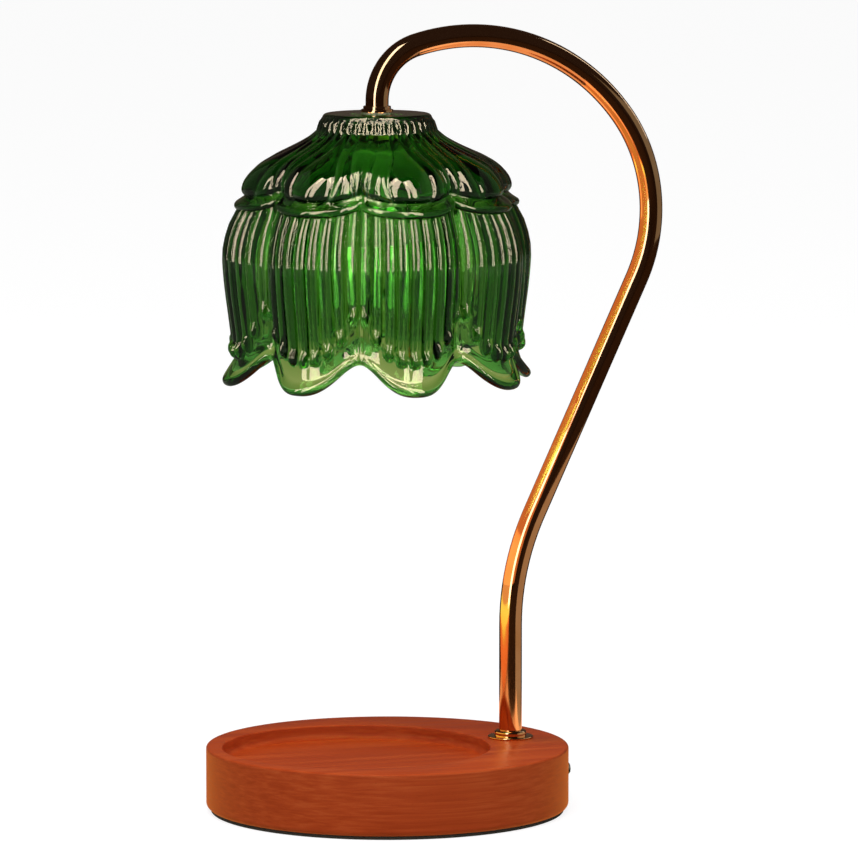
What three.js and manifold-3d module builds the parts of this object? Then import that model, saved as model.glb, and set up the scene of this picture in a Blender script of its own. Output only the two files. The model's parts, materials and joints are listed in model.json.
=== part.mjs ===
// Candle warmer lamp: a round wooden base with a sunk seat for a candle jar, a bent brass arm,
// and a pressed-glass flower shade that hangs over the seat with a halogen reflector lamp inside.
// Millimetres, +Z up. The origin is the centre of the underside, and +X points at the arm.

import * as THREE from "three";
import { mergeVertices } from "three/addons/utils/BufferGeometryUtils.js";
import Module from "manifold-3d";

const wasm = await Module();
wasm.setup();

// Facet counts
const discFacets = 60;
const recessFacets = 44;
const ringFacets = 18;
const smallFacets = 10;
const cornerSteps = 2;
const coveSteps = 3;

// Angles in degrees
const quarterTurn = 90;
const halfTurn = 180;
const fullTurn = 360;

// Clearances shared by all fits
const looseFit = 0.3;
const cutOverrun = 2;
const weldDistance = 0.0005;

// Wooden base and what closes it underneath
const baseRadius = 79;
const baseHeight = 28.5;
const baseTopRound = 1.2;
const baseFootRound = 2.4;
const padThickness = 1.5;
const padEdgeInset = 2;
const armCrescent = 35.1;
const recessDepth = 6.3;
const recessRim = 6.4;
const recessCove = 3.2;
const recessFloorWood = 8;
const coverInset = 7;
const coverThickness = 2;
const cavityRadius = 33;
const cavitySetback = 30.3;

// Screws that hold the cover
const coverScrewCount = 4;
const coverScrewInset = 6;
const coverScrewRadius = 1.5;
const coverScrewHeadRadius = 3;
const coverScrewHeadDepth = 1.4;
const coverScrewLength = 12;

// Brass arm: a bent tube in the XZ plane
const armInset = 21.7;
const armRadius = 5;
const armWall = 1;
const armRise = 78.3;
const armFootBendRadius = 115;
const armFootBendAngle = 25.2;
const armSlope = 112.3;
const armSideBendRadius = 70.7;
const armSideBendAngle = 61.7;
const armCrownBendRadius = 88.3;
const armCrownBendAngle = 69.7;
const armDropBendRadius = 24.7;
const armDrop = 5.3;
const armFacetsOutside = 12;
const armFacetsInside = 7;
const armBendStep = 7;

// Fixing of the arm in the base
const armClampWood = 6.5;
const footWasherRadius = 10;
const footWasherThickness = 1;
const footRingRadius = 7;
const footRingHeight = 2.5;
const footRingRound = 1;
const lockWasherRadius = 8.5;
const lockWasherThickness = 1;
const nutSides = 6;
const nutAcrossFlats = 14;
const nutHeight = 4;
const threadTail = 2;

// Cable gland in the edge of the base
const glandHeight = 13.3;
const glandHeadRadius = 3.75;
const glandHeadLength = 2.6;
const glandHeadRound = 0.8;
const glandNoseRadius = 2.7;
const glandNoseLength = 3.2;
const glandNoseBevel = 0.4;
const glandBodyRadius = 2.9;
const glandBoreRadius = 2;
const glandFlangeRadius = 3.7;
const glandFlangeThickness = 1.2;
const glandRoom = 3;
const glandSeatDepth = 0.8;

// Terminal block in the base, and the lead that runs from it through the arm
const blockLength = 22;
const blockPlinthHeight = 3;
const blockShoulder = 1.2;
const blockBarrelRadius = 3;
const blockBarrelGap = 6;
const blockWireRadius = 1.5;
const blockScrewRadius = 1.3;
const blockScrewSink = 0.5;
const blockFixingRadius = 1.4;
const blockFixingHeadRadius = 2.6;
const blockFixingHeadHeight = 1.4;
const blockFixingGrip = 5;
const blockSetback = 28;
const leadRadius = 2.2;
const leadBendRadius = 8;
const leadFacets = 5;
const leadEntryDepth = 3;
const coreRadius = 0.9;
const coreLength = 9;
const coreGrip = 4;
const coreReachShare = 0.25;
const coreBendShare = 0.33;
const coreSteps = 10;

// Glass shade
const shadeRadius = 66.9;
const shadeHeight = 115;
const shadeTopRadius = 21.8;
const shadeTopThickness = 5;
const shadeHoleRadius = 5.8;
const petalCount = 8;
const petalPhase = -4.7;
const flutesPerPetal = 6;
const fluteHeight = 0.7;
const calyxDepth = 40.7;
const calyxRadius = 59.6;
const calyxPillow = 2.2;
const pillowSinkShare = 0.5;
const pillowSkew = 1.5;
const calyxLip = 3.2;
const calyxLipHeight = 4.6;
const calyxScallop = 3.8;
const ribsPerPetal = 9;
const ribHeight = 2;
const ribFade = 4;
const petalCrease = 8.4;
const creaseGrowth = 1.5;
const petalScallop = 12.2;
const petalBand = 12;
const petalCurl = 3.2;
const hemLand = 9;
const lobeSharpness = 1.3;
const hollowStepsPerPetal = 6;

// Shares of the shade's radius and height, from the collar to the calyx lip
const calyxShares = [
  [0.426, 0.083],
  [0.598, 0.14],
  [0.785, 0.203],
  [0.864, 0.267],
  [0.891, 0.345],
];
// Shares of the shade's radius and height, from under the calyx lip to the petal tips
const bellShares = [
  [0.87, 0.3],
  [0.915, 0.36],
  [0.972, 0.42],
  [1, 0.51],
  [0.984, 0.63],
  [0.951, 0.77],
  [0.951, 0.86],
  [0.978, 0.93],
  [1, 1],
];
// Shares of the shade's radius and of its height under the top, along the inside wall from the top down
const insideShares = [
  [0.28, 0],
  [0.31, 0.039],
  [0.52, 0.127],
  [0.755, 0.216],
  [0.86, 0.342],
  [0.92, 0.498],
  [0.88, 0.728],
  [0.9, 0.896],
  [0.965, 1.01],
];
// How far down the calyx and the bell the rings of the glass lie
const calyxRingShares = [0, 0.32, 0.64, 0.92];
const bellRingShares = [0, 0.14, 0.34, 0.6, 0.84];
const bandRingShares = [0, 0.6, 1];

// Fixing of the shade and the lamp holder on the arm
const collarPlateRadius = 7;
const collarPlateHeight = 1.2;
const collarBossRadius = 6;
const collarBossHeight = 1.4;
const gasketRadius = 12;
const gasketThickness = 1;
const topGasketThickness = 0.6;
const plateRadius = 14;
const plateThickness = 1.2;
const bracketWidth = 12;
const bracketThickness = 1.2;
const bracketHalfSpan = 16;
const bracketDrop = 14;
const bracketFoot = 8;

// Ceramic lamp holder for a twist-lock reflector lamp
const holderRadius = 15;
const holderHeight = 16;
const holderEdge = 1;
const holderScrewOffset = 10.8;
const holderScrewRadius = 1.5;
const holderScrewHeadRadius = 2.7;
const holderScrewHeadHeight = 2;
const leadEntryRadius = 3;
const pinSpacing = 10;
const pinStemRadius = 1.4;
const pinHeadRadius = 2.45;
const pinHeadHeight = 2.5;
const pinLipThickness = 3.2;
const pinRestAngle = 90;
const twistAngle = 30;
const contactThickness = 0.6;
const slotSteps = 4;

// Reflector lamp
const lampGap = 0.5;
const capRadius = 15;
const capHeight = 19;
const capBevel = 3;
const capSkirtRadius = 14;
const bowlRadius = 25;
const bowlHeight = 29;
const bowlWall = 1.6;
const bowlNeckRadius = 8;
const bowlRimHeight = 4;
const bowlFlare = 1.5;
const bowlSteps = 3;
const bowlFacets = 22;
const lensThickness = 2.2;
const capsuleRadius = 5;
const capsuleLength = 18;

// Places worked out from the sizes above
const recessRadius = baseRadius - (recessRim + armCrescent) / 2;
const recessX = recessRadius + recessRim - baseRadius;
const recessFloorZ = baseHeight - recessDepth;
const armX = baseRadius - armInset;
const coverRadius = baseRadius - coverInset;
const cavityX = armX - cavitySetback;
const coverTopZ = padThickness + coverThickness;
const cavityCeilingZ = recessFloorZ - recessFloorWood;
const pocketCeilingZ = baseHeight - armClampWood;
const pocketRadius = lockWasherRadius + glandRoom;
const armFootZ = pocketCeilingZ - lockWasherThickness - nutHeight - threadTail;
const armDropBendAngle = halfTurn + armFootBendAngle - armSideBendAngle - armCrownBendAngle;
const bracketTopZ = -shadeTopThickness - gasketThickness - plateThickness;
const nutZ = bracketTopZ - bracketThickness - nutHeight;
const armEndZ = nutZ - threadTail;
const holderTopZ = bracketTopZ - bracketDrop;
const holderFaceZ = holderTopZ - holderHeight;
const lampFaceZ = holderFaceZ - lampGap;
const pinStemLength = lampGap + pinLipThickness + looseFit;
const pinRoom = pinHeadHeight + looseFit + looseFit + contactThickness;
const leadZ = armFootZ - leadBendRadius;
const blockFaceX = armX - blockSetback;
const blockX = blockFaceX - blockLength / 2;
const blockWireSpacing = blockBarrelGap + blockBarrelRadius * 2;
const blockWireZ = cavityCeilingZ - blockPlinthHeight - blockBarrelRadius;
const lensRadius = bowlRadius - bowlWall - looseFit;

const radians = THREE.MathUtils.degToRad;

function finish(color, roughness, metalness, opacity = 1) {
  return new THREE.MeshStandardMaterial({ color, roughness, metalness, opacity, transparent: opacity < 1 });
}

const finishes = {
  wood: finish("#9c4a22", 0.45, 0),
  foam: finish("#17171a", 0.95, 0),
  fibre: finish("#26262a", 0.8, 0),
  brass: finish("#c99a4a", 0.18, 1),
  steel: finish("#b9bcc0", 0.35, 1),
  blackPlastic: finish("#121214", 0.5, 0),
  whitePlastic: finish("#e8e6df", 0.5, 0),
  silicone: finish("#d9d9d4", 0.7, 0),
  greenGlass: finish("#1d7a2c", 0.08, 0, 0.6),
  ceramic: finish("#ece7dc", 0.55, 0),
  clearGlass: finish("#f2f4f2", 0.05, 0, 0.35),
  mirrorGlass: finish("#cfd2d6", 0.15, 1),
};

// Closed surface to solid and back, for cuts
function solidOf(geometry) {
  const points = new THREE.BufferGeometry();
  const flat = geometry.index ? geometry.toNonIndexed() : geometry;
  points.setAttribute("position", flat.getAttribute("position"));
  const merged = mergeVertices(points, weldDistance);
  const mesh = new wasm.Mesh({
    numProp: 3,
    vertProperties: merged.attributes.position.array,
    triVerts: new Uint32Array(merged.index.array),
  });
  return new wasm.Manifold(mesh);
}

function geometryOf(solid) {
  const mesh = solid.getMesh();
  const geometry = new THREE.BufferGeometry();
  geometry.setAttribute("position", new THREE.BufferAttribute(mesh.vertProperties, mesh.numProp));
  geometry.setIndex(new THREE.BufferAttribute(mesh.triVerts, 1));
  geometry.computeVertexNormals();
  return geometry;
}

function cut(geometry, ...tools) {
  let solid = solidOf(geometry);
  for (const tool of tools) solid = solid.subtract(solidOf(tool));
  return geometryOf(solid);
}

// Points [radius, height] up the outside of a turned piece, revolved about Z
function revolve(profile, facets) {
  const points = profile.map(([radius, height]) => new THREE.Vector2(radius, height));
  return new THREE.LatheGeometry(points, facets).rotateX(radians(quarterTurn));
}

function disc(radius, bottom, top, facets = ringFacets) {
  return revolve([[0, bottom], [radius, bottom], [radius, top], [0, top]], facets);
}

function ring(hole, radius, bottom, top, facets = ringFacets) {
  return revolve([[hole, bottom], [radius, bottom], [radius, top], [hole, top], [hole, bottom]], facets);
}

// Arc of a profile about (radius, height), from one angle to another
function arc(centreRadius, centreHeight, bend, from, to, steps = cornerSteps) {
  const points = [];
  for (let i = 0; i <= steps; i++) {
    const angle = radians(from + ((to - from) * i) / steps);
    points.push([centreRadius + bend * Math.cos(angle), centreHeight + bend * Math.sin(angle)]);
  }
  return points;
}

function around(angle, radius) {
  return [radius * Math.cos(radians(angle)), radius * Math.sin(radians(angle))];
}

function place(name, geometry, material, x = 0, y = 0, z = 0) {
  const mesh = new THREE.Mesh(geometry, material);
  mesh.name = name;
  mesh.position.set(x, y, z);
  return mesh;
}

function hexagon(acrossFlats) {
  const corner = acrossFlats / 2 / Math.cos(radians(halfTurn / nutSides));
  const points = [];
  for (let i = 0; i < nutSides; i++) {
    points.push(new THREE.Vector2(...around((fullTurn * i) / nutSides, corner)));
  }
  return new THREE.Shape(points);
}

function nut(bottom, height) {
  const body = new THREE.ExtrudeGeometry(hexagon(nutAcrossFlats), { depth: height, bevelEnabled: false });
  body.translate(0, 0, bottom);
  return cut(body, disc(armRadius + looseFit, bottom - cutOverrun, bottom + height + cutOverrun));
}

// A path in the XZ plane made of straights and bends. Straights are one step, bends have close ones.
class BentPath extends THREE.Curve {
  constructor(x, z, heading, runs) {
    super();
    this.stations = [{ x, z, heading }];
    for (const run of runs) this.add(run);
  }

  get end() {
    return this.stations[this.stations.length - 1];
  }

  get steps() {
    return this.stations.length - 1;
  }

  add({ length = 0, radius = 0, turn = 0 }) {
    const from = this.end;
    const steps = turn ? Math.ceil(Math.abs(turn) / armBendStep) : 1;
    const side = Math.sign(turn);
    for (let i = 1; i <= steps; i++) {
      const heading = from.heading + (turn * i) / steps;
      const along = (length * i) / steps;
      const start = radians(from.heading);
      const now = radians(heading);
      this.stations.push({
        x: from.x + along * Math.cos(start) + side * radius * (Math.sin(now) - Math.sin(start)),
        z: from.z + along * Math.sin(start) - side * radius * (Math.cos(now) - Math.cos(start)),
        heading,
      });
    }
  }

  getPoint(t) {
    const at = Math.min(t * this.steps, this.steps);
    const low = this.stations[Math.floor(at)];
    const high = this.stations[Math.ceil(at)];
    const part = at - Math.floor(at);
    return new THREE.Vector3(low.x + (high.x - low.x) * part, 0, low.z + (high.z - low.z) * part);
  }

  getPointAt(u) {
    return this.getPoint(u);
  }

  getTangentAt(u) {
    const heading = radians(this.stations[Math.round(u * this.steps)].heading);
    return new THREE.Vector3(Math.cos(heading), 0, Math.sin(heading));
  }
}

function circle(radius, facets) {
  const points = [];
  for (let i = 0; i < facets; i++) {
    points.push(new THREE.Vector2(...around((fullTurn * (i + 0.5)) / facets, radius)));
  }
  return points;
}

function sweep(path, outline) {
  return new THREE.ExtrudeGeometry(outline, { steps: path.steps, extrudePath: path, bevelEnabled: false });
}

const armBends = [
  { radius: armFootBendRadius, turn: -armFootBendAngle },
  { length: armSlope },
  { radius: armSideBendRadius, turn: armSideBendAngle },
  { radius: armCrownBendRadius, turn: armCrownBendAngle },
  { radius: armDropBendRadius, turn: armDropBendAngle },
];
const armShown = new BentPath(armX, armFootZ, quarterTurn, [
  { length: armRise - armFootZ },
  ...armBends,
  { length: armDrop },
]);
const shadeX = armShown.end.x;
const shadeTopZ = armShown.end.z;

function armTube() {
  const path = new BentPath(armX, armFootZ, quarterTurn, [
    { length: armRise - armFootZ },
    ...armBends,
    { length: armDrop - armEndZ },
  ]);
  const wall = new THREE.Shape(circle(armRadius, armFacetsOutside));
  wall.holes.push(new THREE.Path(circle(armRadius - armWall, armFacetsInside)));
  return sweep(path, wall);
}

// The lead leaves the terminal block level, turns up into the arm and ends in the lamp holder
function armLead() {
  const startX = blockFaceX + coreLength;
  const path = new BentPath(startX, leadZ, 0, [
    { length: armX - leadBendRadius - startX },
    { radius: leadBendRadius, turn: quarterTurn },
    { length: armRise - leadZ - leadBendRadius },
    ...armBends,
    { length: armDrop - holderTopZ + leadEntryDepth - looseFit },
  ]);
  return sweep(path, new THREE.Shape(circle(leadRadius, leadFacets)));
}

// Insulated core of the lead, from the lead's end into its barrel of the terminal block
function leadCore(side) {
  const nearX = blockFaceX + coreLength - looseFit;
  const farX = blockFaceX + coreLength * coreReachShare;
  const near = new THREE.Vector3(nearX, (side * leadRadius) / 2, leadZ);
  const far = new THREE.Vector3(farX, (side * blockWireSpacing) / 2, blockWireZ);
  const along = new THREE.Vector3(coreLength * coreBendShare, 0, 0);
  const path = new THREE.CurvePath();
  path.add(new THREE.CubicBezierCurve3(near, near.clone().sub(along), far.clone().add(along), far));
  path.add(new THREE.LineCurve3(far, far.clone().setX(blockFaceX - coreGrip)));
  const outline = new THREE.Shape(circle(coreRadius, leadFacets));
  return new THREE.ExtrudeGeometry(outline, { steps: coreSteps, extrudePath: path, bevelEnabled: false });
}

// Base

function screwCircle(index) {
  return around((fullTurn * (index + 0.5)) / coverScrewCount, coverRadius - coverScrewInset);
}

function baseBody() {
  const blank = revolve(
    [
      [0, padThickness],
      ...arc(baseRadius - baseFootRound, padThickness + baseFootRound, baseFootRound, -quarterTurn, 0),
      ...arc(baseRadius - baseTopRound, baseHeight - baseTopRound, baseTopRound, 0, quarterTurn),
      [0, baseHeight],
    ],
    discFacets,
  );
  const seat = revolve(
    [
      [0, recessFloorZ],
      ...arc(recessRadius - recessCove, recessFloorZ + recessCove, recessCove, -quarterTurn, 0, coveSteps),
      [recessRadius, baseHeight + cutOverrun],
      [0, baseHeight + cutOverrun],
    ],
    recessFacets,
  ).translate(recessX, 0, 0);
  const under = padThickness - cutOverrun;
  const rebate = disc(coverRadius + looseFit, under, coverTopZ + looseFit, discFacets);
  const cavity = disc(cavityRadius, under, cavityCeilingZ, recessFacets).translate(cavityX, 0, 0);
  const pocket = disc(pocketRadius, under, pocketCeilingZ).translate(armX, 0, 0);
  const armHole = disc(armRadius + looseFit, under, baseHeight + cutOverrun).translate(armX, 0, 0);
  const glandHole = disc(glandBodyRadius + looseFit, armX, baseRadius + cutOverrun, smallFacets);
  const glandSeat = disc(
    glandHeadRadius + looseFit,
    baseRadius - glandSeatDepth,
    baseRadius + cutOverrun,
  );
  for (const tool of [glandHole, glandSeat]) {
    tool.rotateY(radians(quarterTurn)).translate(0, 0, glandHeight);
  }
  const screwTip = padThickness + coverScrewLength + looseFit;
  const screwHoles = [];
  for (let i = 0; i < coverScrewCount; i++) {
    const hole = disc(coverScrewRadius + looseFit, under, screwTip, smallFacets);
    screwHoles.push(hole.translate(...screwCircle(i), 0));
  }
  const fixingTip = cavityCeilingZ + blockFixingGrip + looseFit;
  const fixingHole = disc(blockFixingRadius + looseFit, under, fixingTip, smallFacets);
  fixingHole.translate(blockX, 0, 0);
  return cut(blank, seat, rebate, cavity, pocket, armHole, glandHole, glandSeat, ...screwHoles, fixingHole);
}

function bottomCover() {
  const holes = [];
  for (let i = 0; i < coverScrewCount; i++) {
    const headRadius = coverScrewHeadRadius + looseFit;
    const shaftRadius = coverScrewRadius + looseFit;
    const headTop = padThickness + coverScrewHeadDepth;
    const hole = revolve(
      [
        [0, padThickness - cutOverrun],
        [headRadius, padThickness - cutOverrun],
        [headRadius, padThickness],
        [shaftRadius, headTop],
        [shaftRadius, coverTopZ + cutOverrun],
        [0, coverTopZ + cutOverrun],
      ],
      smallFacets,
    );
    holes.push(hole.translate(...screwCircle(i), 0));
  }
  return cut(disc(coverRadius, padThickness, coverTopZ, discFacets), ...holes);
}

function coverScrew() {
  return revolve(
    [
      [0, padThickness],
      [coverScrewHeadRadius, padThickness],
      [coverScrewRadius, padThickness + coverScrewHeadDepth],
      [coverScrewRadius, padThickness + coverScrewLength - coverScrewRadius],
      [0, padThickness + coverScrewLength],
    ],
    smallFacets,
  );
}

// The gland is turned about its own axis, with its head's inner face at zero, then laid along +X
function cordGland() {
  const headX = baseRadius - glandSeatDepth;
  const headEnd = glandSeatDepth + glandHeadLength;
  const noseEnd = headEnd + glandNoseLength;
  const wallFoot = Math.sqrt(pocketRadius ** 2 - glandFlangeRadius ** 2);
  const flangeX = armX + wallFoot - looseFit - headX;
  return revolve(
    [
      [glandBoreRadius, flangeX - glandFlangeThickness],
      [glandFlangeRadius, flangeX - glandFlangeThickness],
      [glandFlangeRadius, flangeX],
      [glandBodyRadius, flangeX],
      [glandBodyRadius, 0],
      [glandHeadRadius, 0],
      ...arc(glandHeadRadius - glandHeadRound, headEnd - glandHeadRound, glandHeadRound, 0, quarterTurn),
      [glandNoseRadius, headEnd],
      [glandNoseRadius, noseEnd - glandNoseBevel],
      [glandNoseRadius - glandNoseBevel, noseEnd],
      [glandBoreRadius, noseEnd],
      [glandBoreRadius, flangeX - glandFlangeThickness],
    ],
    smallFacets,
  ).rotateY(radians(quarterTurn));
}

// The terminal block hangs from the cavity's ceiling: a plinth with a barrel for each wire
function terminalBlock() {
  const barrel = blockBarrelRadius;
  const width = blockWireSpacing / 2 + barrel + blockShoulder;
  const outline = new THREE.Shape();
  outline.moveTo(-width, 0);
  outline.lineTo(width, 0);
  outline.lineTo(width, -blockPlinthHeight);
  for (const side of [1, -1]) {
    const middle = (side * blockWireSpacing) / 2;
    outline.lineTo(middle + barrel, -blockPlinthHeight);
    for (const [across, down] of arc(middle, -blockPlinthHeight - barrel, barrel, 0, -halfTurn, slotSteps)) {
      outline.lineTo(across, down);
    }
    outline.lineTo(middle - barrel, -blockPlinthHeight);
  }
  outline.lineTo(-width, -blockPlinthHeight);
  const body = new THREE.ExtrudeGeometry(outline, { depth: blockLength, bevelEnabled: false });
  body.rotateX(radians(quarterTurn)).rotateZ(radians(quarterTurn)).translate(-blockLength / 2, 0, 0);
  const tools = [];
  for (const side of [1, -1]) {
    const y = (side * blockWireSpacing) / 2;
    const wire = disc(blockWireRadius, -blockLength, blockLength, smallFacets);
    wire.rotateY(radians(quarterTurn)).translate(0, y, -blockPlinthHeight - barrel);
    tools.push(wire);
    for (const end of [1, -1]) {
      const bottom = -blockPlinthHeight - barrel * 2 - cutOverrun;
      const hole = disc(blockScrewRadius + looseFit, bottom, -blockPlinthHeight - barrel, smallFacets);
      tools.push(hole.translate((end * blockLength) / 4, y, 0));
    }
  }
  tools.push(disc(blockFixingRadius + looseFit, -blockPlinthHeight - cutOverrun, cutOverrun, smallFacets));
  return cut(body, ...tools);
}

// Clamping screw of a barrel, sunk a little below its lip and stopping short of the core
function blockScrew() {
  const head = -blockPlinthHeight - blockBarrelRadius * 2 + blockScrewSink;
  const tip = -blockPlinthHeight - blockBarrelRadius - coreRadius - looseFit;
  return disc(blockScrewRadius, head, tip, smallFacets);
}

function blockFixing() {
  const seat = -blockPlinthHeight;
  const head = seat - blockFixingHeadHeight;
  return revolve(
    [
      [0, head],
      [blockFixingHeadRadius, head],
      [blockFixingHeadRadius, seat],
      [blockFixingRadius, seat],
      [blockFixingRadius, blockFixingGrip],
      [0, blockFixingGrip],
    ],
    smallFacets,
  );
}

function baseAssembly() {
  const group = new THREE.Group();
  group.add(place("base_body", baseBody(), finishes.wood));
  group.add(place("base_pad", disc(baseRadius - padEdgeInset, 0, padThickness, discFacets), finishes.foam));
  group.add(place("bottom_cover", bottomCover(), finishes.fibre));
  for (let i = 0; i < coverScrewCount; i++) {
    group.add(place("cover_screw_" + (i + 1), coverScrew(), finishes.steel, ...screwCircle(i)));
  }
  const glandX = baseRadius - glandSeatDepth;
  group.add(place("cord_gland", cordGland(), finishes.blackPlastic, glandX, 0, glandHeight));
  group.add(place("terminal_block", terminalBlock(), finishes.whitePlastic, blockX, 0, cavityCeilingZ));
  group.add(place("block_fixing_screw", blockFixing(), finishes.steel, blockX, 0, cavityCeilingZ));
  for (const [index, [end, side]] of [[1, 1], [1, -1], [-1, 1], [-1, -1]].entries()) {
    const x = blockX + (end * blockLength) / 4;
    const y = (side * blockWireSpacing) / 2;
    group.add(place("block_screw_" + (index + 1), blockScrew(), finishes.steel, x, y, cavityCeilingZ));
  }
  return group;
}

// Arm

function footRing() {
  const bottom = baseHeight + footWasherThickness;
  const top = bottom + footRingHeight;
  const hole = armRadius + looseFit;
  return revolve(
    [
      [hole, bottom],
      [footRingRadius, bottom],
      ...arc(footRingRadius - footRingRound, top - footRingRound, footRingRound, 0, quarterTurn),
      [hole, top],
      [hole, bottom],
    ],
    ringFacets,
  );
}

function armAssembly() {
  const group = new THREE.Group();
  const hole = armRadius + looseFit;
  const washer = ring(hole, footWasherRadius, baseHeight, baseHeight + footWasherThickness);
  const lockWasher = ring(hole, lockWasherRadius, pocketCeilingZ - lockWasherThickness, pocketCeilingZ);
  const lockNut = nut(pocketCeilingZ - lockWasherThickness - nutHeight, nutHeight);
  group.add(place("arm_tube", armTube(), finishes.brass));
  group.add(place("arm_lead", armLead(), finishes.silicone));
  group.add(place("lead_core_1", leadCore(1), finishes.brass));
  group.add(place("lead_core_2", leadCore(-1), finishes.brass));
  group.add(place("foot_washer", washer, finishes.brass, armX));
  group.add(place("foot_ring", footRing(), finishes.brass, armX));
  group.add(place("foot_lock_washer", lockWasher, finishes.steel, armX));
  group.add(place("foot_nut", lockNut, finishes.brass, armX));
  return group;
}

// Glass shade, with depths counted down from its flat top

// One at the middle of a petal, nothing at the notch beside it
function lobe(across) {
  return (1 + Math.cos(Math.PI * Math.abs(across) ** lobeSharpness)) / 2;
}

// Curve through shares of the shade's radius and of its height below a given depth
function spline(shares, top = 0) {
  const height = shadeHeight - top;
  return new THREE.SplineCurve(
    shares.map(([radius, depth]) => new THREE.Vector2(radius * shadeRadius, top + depth * height)),
  );
}

const calyxCurve = spline(calyxShares);
const bellCurve = spline(bellShares);

// Radius on a petal's round back, which falls from its middle to the crease beside it
function cupped(radius, depth, across) {
  const half = Math.PI / petalCount;
  const crease = radius - petalCrease * Math.min(depth / calyxDepth, 1) ** creaseGrowth;
  const rise = radius - crease * Math.cos(half);
  const backRadius = ((crease * Math.sin(half)) ** 2 + rise ** 2) / (2 * rise);
  const centre = radius - backRadius;
  const aside = centre * Math.sin(half * across);
  return centre * Math.cos(half * across) + Math.sqrt(backRadius ** 2 - aside ** 2);
}

// Outline of the glass down one line of the shade, as [radius, depth] from the top edge to the hem.
// across runs from -1 to 1 over a petal; flute and rib are 1 on a crest and -1 in a valley.
function petalOutline(across, flute, rib) {
  const crown = 1 - across ** 2;
  const outline = [
    [shadeTopRadius - fluteHeight, 0],
    [shadeTopRadius + (fluteHeight * flute) / 2, fluteHeight],
  ];
  const lipDepth = calyxDepth - calyxScallop * (1 - lobe(across));
  const fullDepth = calyxCurve.getPoint(1).y;
  const fullTopDepth = calyxCurve.getPoint(0).y;
  for (const share of calyxRingShares) {
    const point = calyxCurve.getPoint(share);
    const fall = (point.y - fullTopDepth) / (fullDepth - fullTopDepth);
    const depth = fullTopDepth + fall * (lipDepth - calyxLipHeight - fullTopDepth);
    const swell = calyxPillow * Math.sin(Math.PI * share ** pillowSkew) * (crown - pillowSinkShare);
    const fluted = (fluteHeight * flute * (1 - share)) / 2;
    outline.push([cupped(point.x, point.y, across) + swell + fluted, depth]);
  }
  outline.push([cupped(calyxRadius + calyxLip, calyxDepth, across), lipDepth - calyxLipHeight / 2]);
  outline.push([cupped(calyxRadius + calyxLip / 2, calyxDepth, across), lipDepth]);
  const hemDepth = shadeHeight - petalScallop * (1 - lobe(across));
  const bandDepth = hemDepth - petalBand;
  for (const share of bellRingShares) {
    const depth = lipDepth + looseFit + (bandDepth - lipDepth - looseFit) * share;
    outline.push([bellRadius(depth, across) + ribRise(depth, lipDepth, bandDepth) * rib, depth]);
  }
  for (const share of bandRingShares) {
    const depth = bandDepth + (hemDepth - bandDepth) * share;
    outline.push([bellRadius(depth, across) + petalCurl * crown * share ** 2, depth]);
  }
  return outline;
}

function ribRise(depth, from, to) {
  const nearest = Math.min(depth - from, to - depth);
  return (ribHeight / 2) * THREE.MathUtils.smoothstep(nearest, -ribFade, ribFade);
}

// The bell's curve passes its points at even steps, so a depth lies between two of them
function bellRadius(depth, across) {
  const down = Math.min(depth / shadeHeight, 1);
  const after = Math.max(bellShares.findIndex(([, share]) => share >= down), 1);
  const [, above] = bellShares[after - 1];
  const [, below] = bellShares[after];
  const along = (after - 1 + (down - above) / (below - above)) / (bellShares.length - 1);
  return cupped(bellCurve.getPoint(Math.max(along, 0)).x, calyxDepth, across);
}

// Solid closed on the axis, whose side joins the outline at each step across each petal
function flower(stepsPerPetal, outlineAt) {
  const columns = petalCount * stepsPerPetal;
  const positions = [];
  const outlines = [];
  for (let i = 0; i < columns; i++) {
    const step = i % stepsPerPetal;
    const angle = petalPhase - quarterTurn + (fullTurn * (i / columns - 0.5 / petalCount));
    const outline = outlineAt(step, (2 * step) / stepsPerPetal - 1);
    outlines.push(outline.map(([radius, depth]) => new THREE.Vector3(...around(angle, radius), -depth)));
  }
  for (let i = 0; i < columns; i++) {
    const here = outlines[i];
    const next = outlines[(i + 1) % columns];
    for (let j = 0; j + 1 < here.length; j++) {
      if (j + 2 < here.length) positions.push(...here[j], ...here[j + 1], ...next[j + 1]);
      else positions.push(...here[j], ...here[j + 1], ...next[j]);
      if (j > 0 && j + 2 < here.length) positions.push(...here[j], ...next[j + 1], ...next[j]);
    }
  }
  const geometry = new THREE.BufferGeometry();
  geometry.setAttribute("position", new THREE.Float32BufferAttribute(positions, 3));
  return geometry;
}

// Flower with no hollow yet, closed across its top and its mouth
function flowerBody() {
  const stepsPerPetal = ribsPerPetal * 2;
  return flower(stepsPerPetal, (step, across) => {
    const flute = Math.cos((2 * Math.PI * flutesPerPetal * step) / stepsPerPetal);
    const rib = step % 2 ? 1 : -1;
    const outline = petalOutline(across, flute, rib);
    const [hemRadius, hemDepth] = outline[outline.length - 1];
    return [[0, 0], ...outline, [hemRadius - hemLand, hemDepth], [0, shadeHeight]];
  });
}

// Hollow under the thick top, cupped as the outside is and open past the petals' tips
function flowerHollow() {
  const inside = spline(insideShares, shadeTopThickness).getSpacedPoints(insideShares.length);
  return flower(hollowStepsPerPetal, (step, across) => {
    const wall = inside.map((point) => [cupped(point.x, point.y, across), point.y]);
    const [mouthRadius, mouthDepth] = wall[wall.length - 1];
    const under = mouthDepth + cutOverrun;
    return [[0, shadeTopThickness], ...wall, [mouthRadius, under], [0, under]];
  });
}

function glassShade() {
  const hole = disc(shadeHoleRadius, -shadeTopThickness - cutOverrun, cutOverrun);
  return cut(flowerBody(), flowerHollow(), hole);
}

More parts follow.
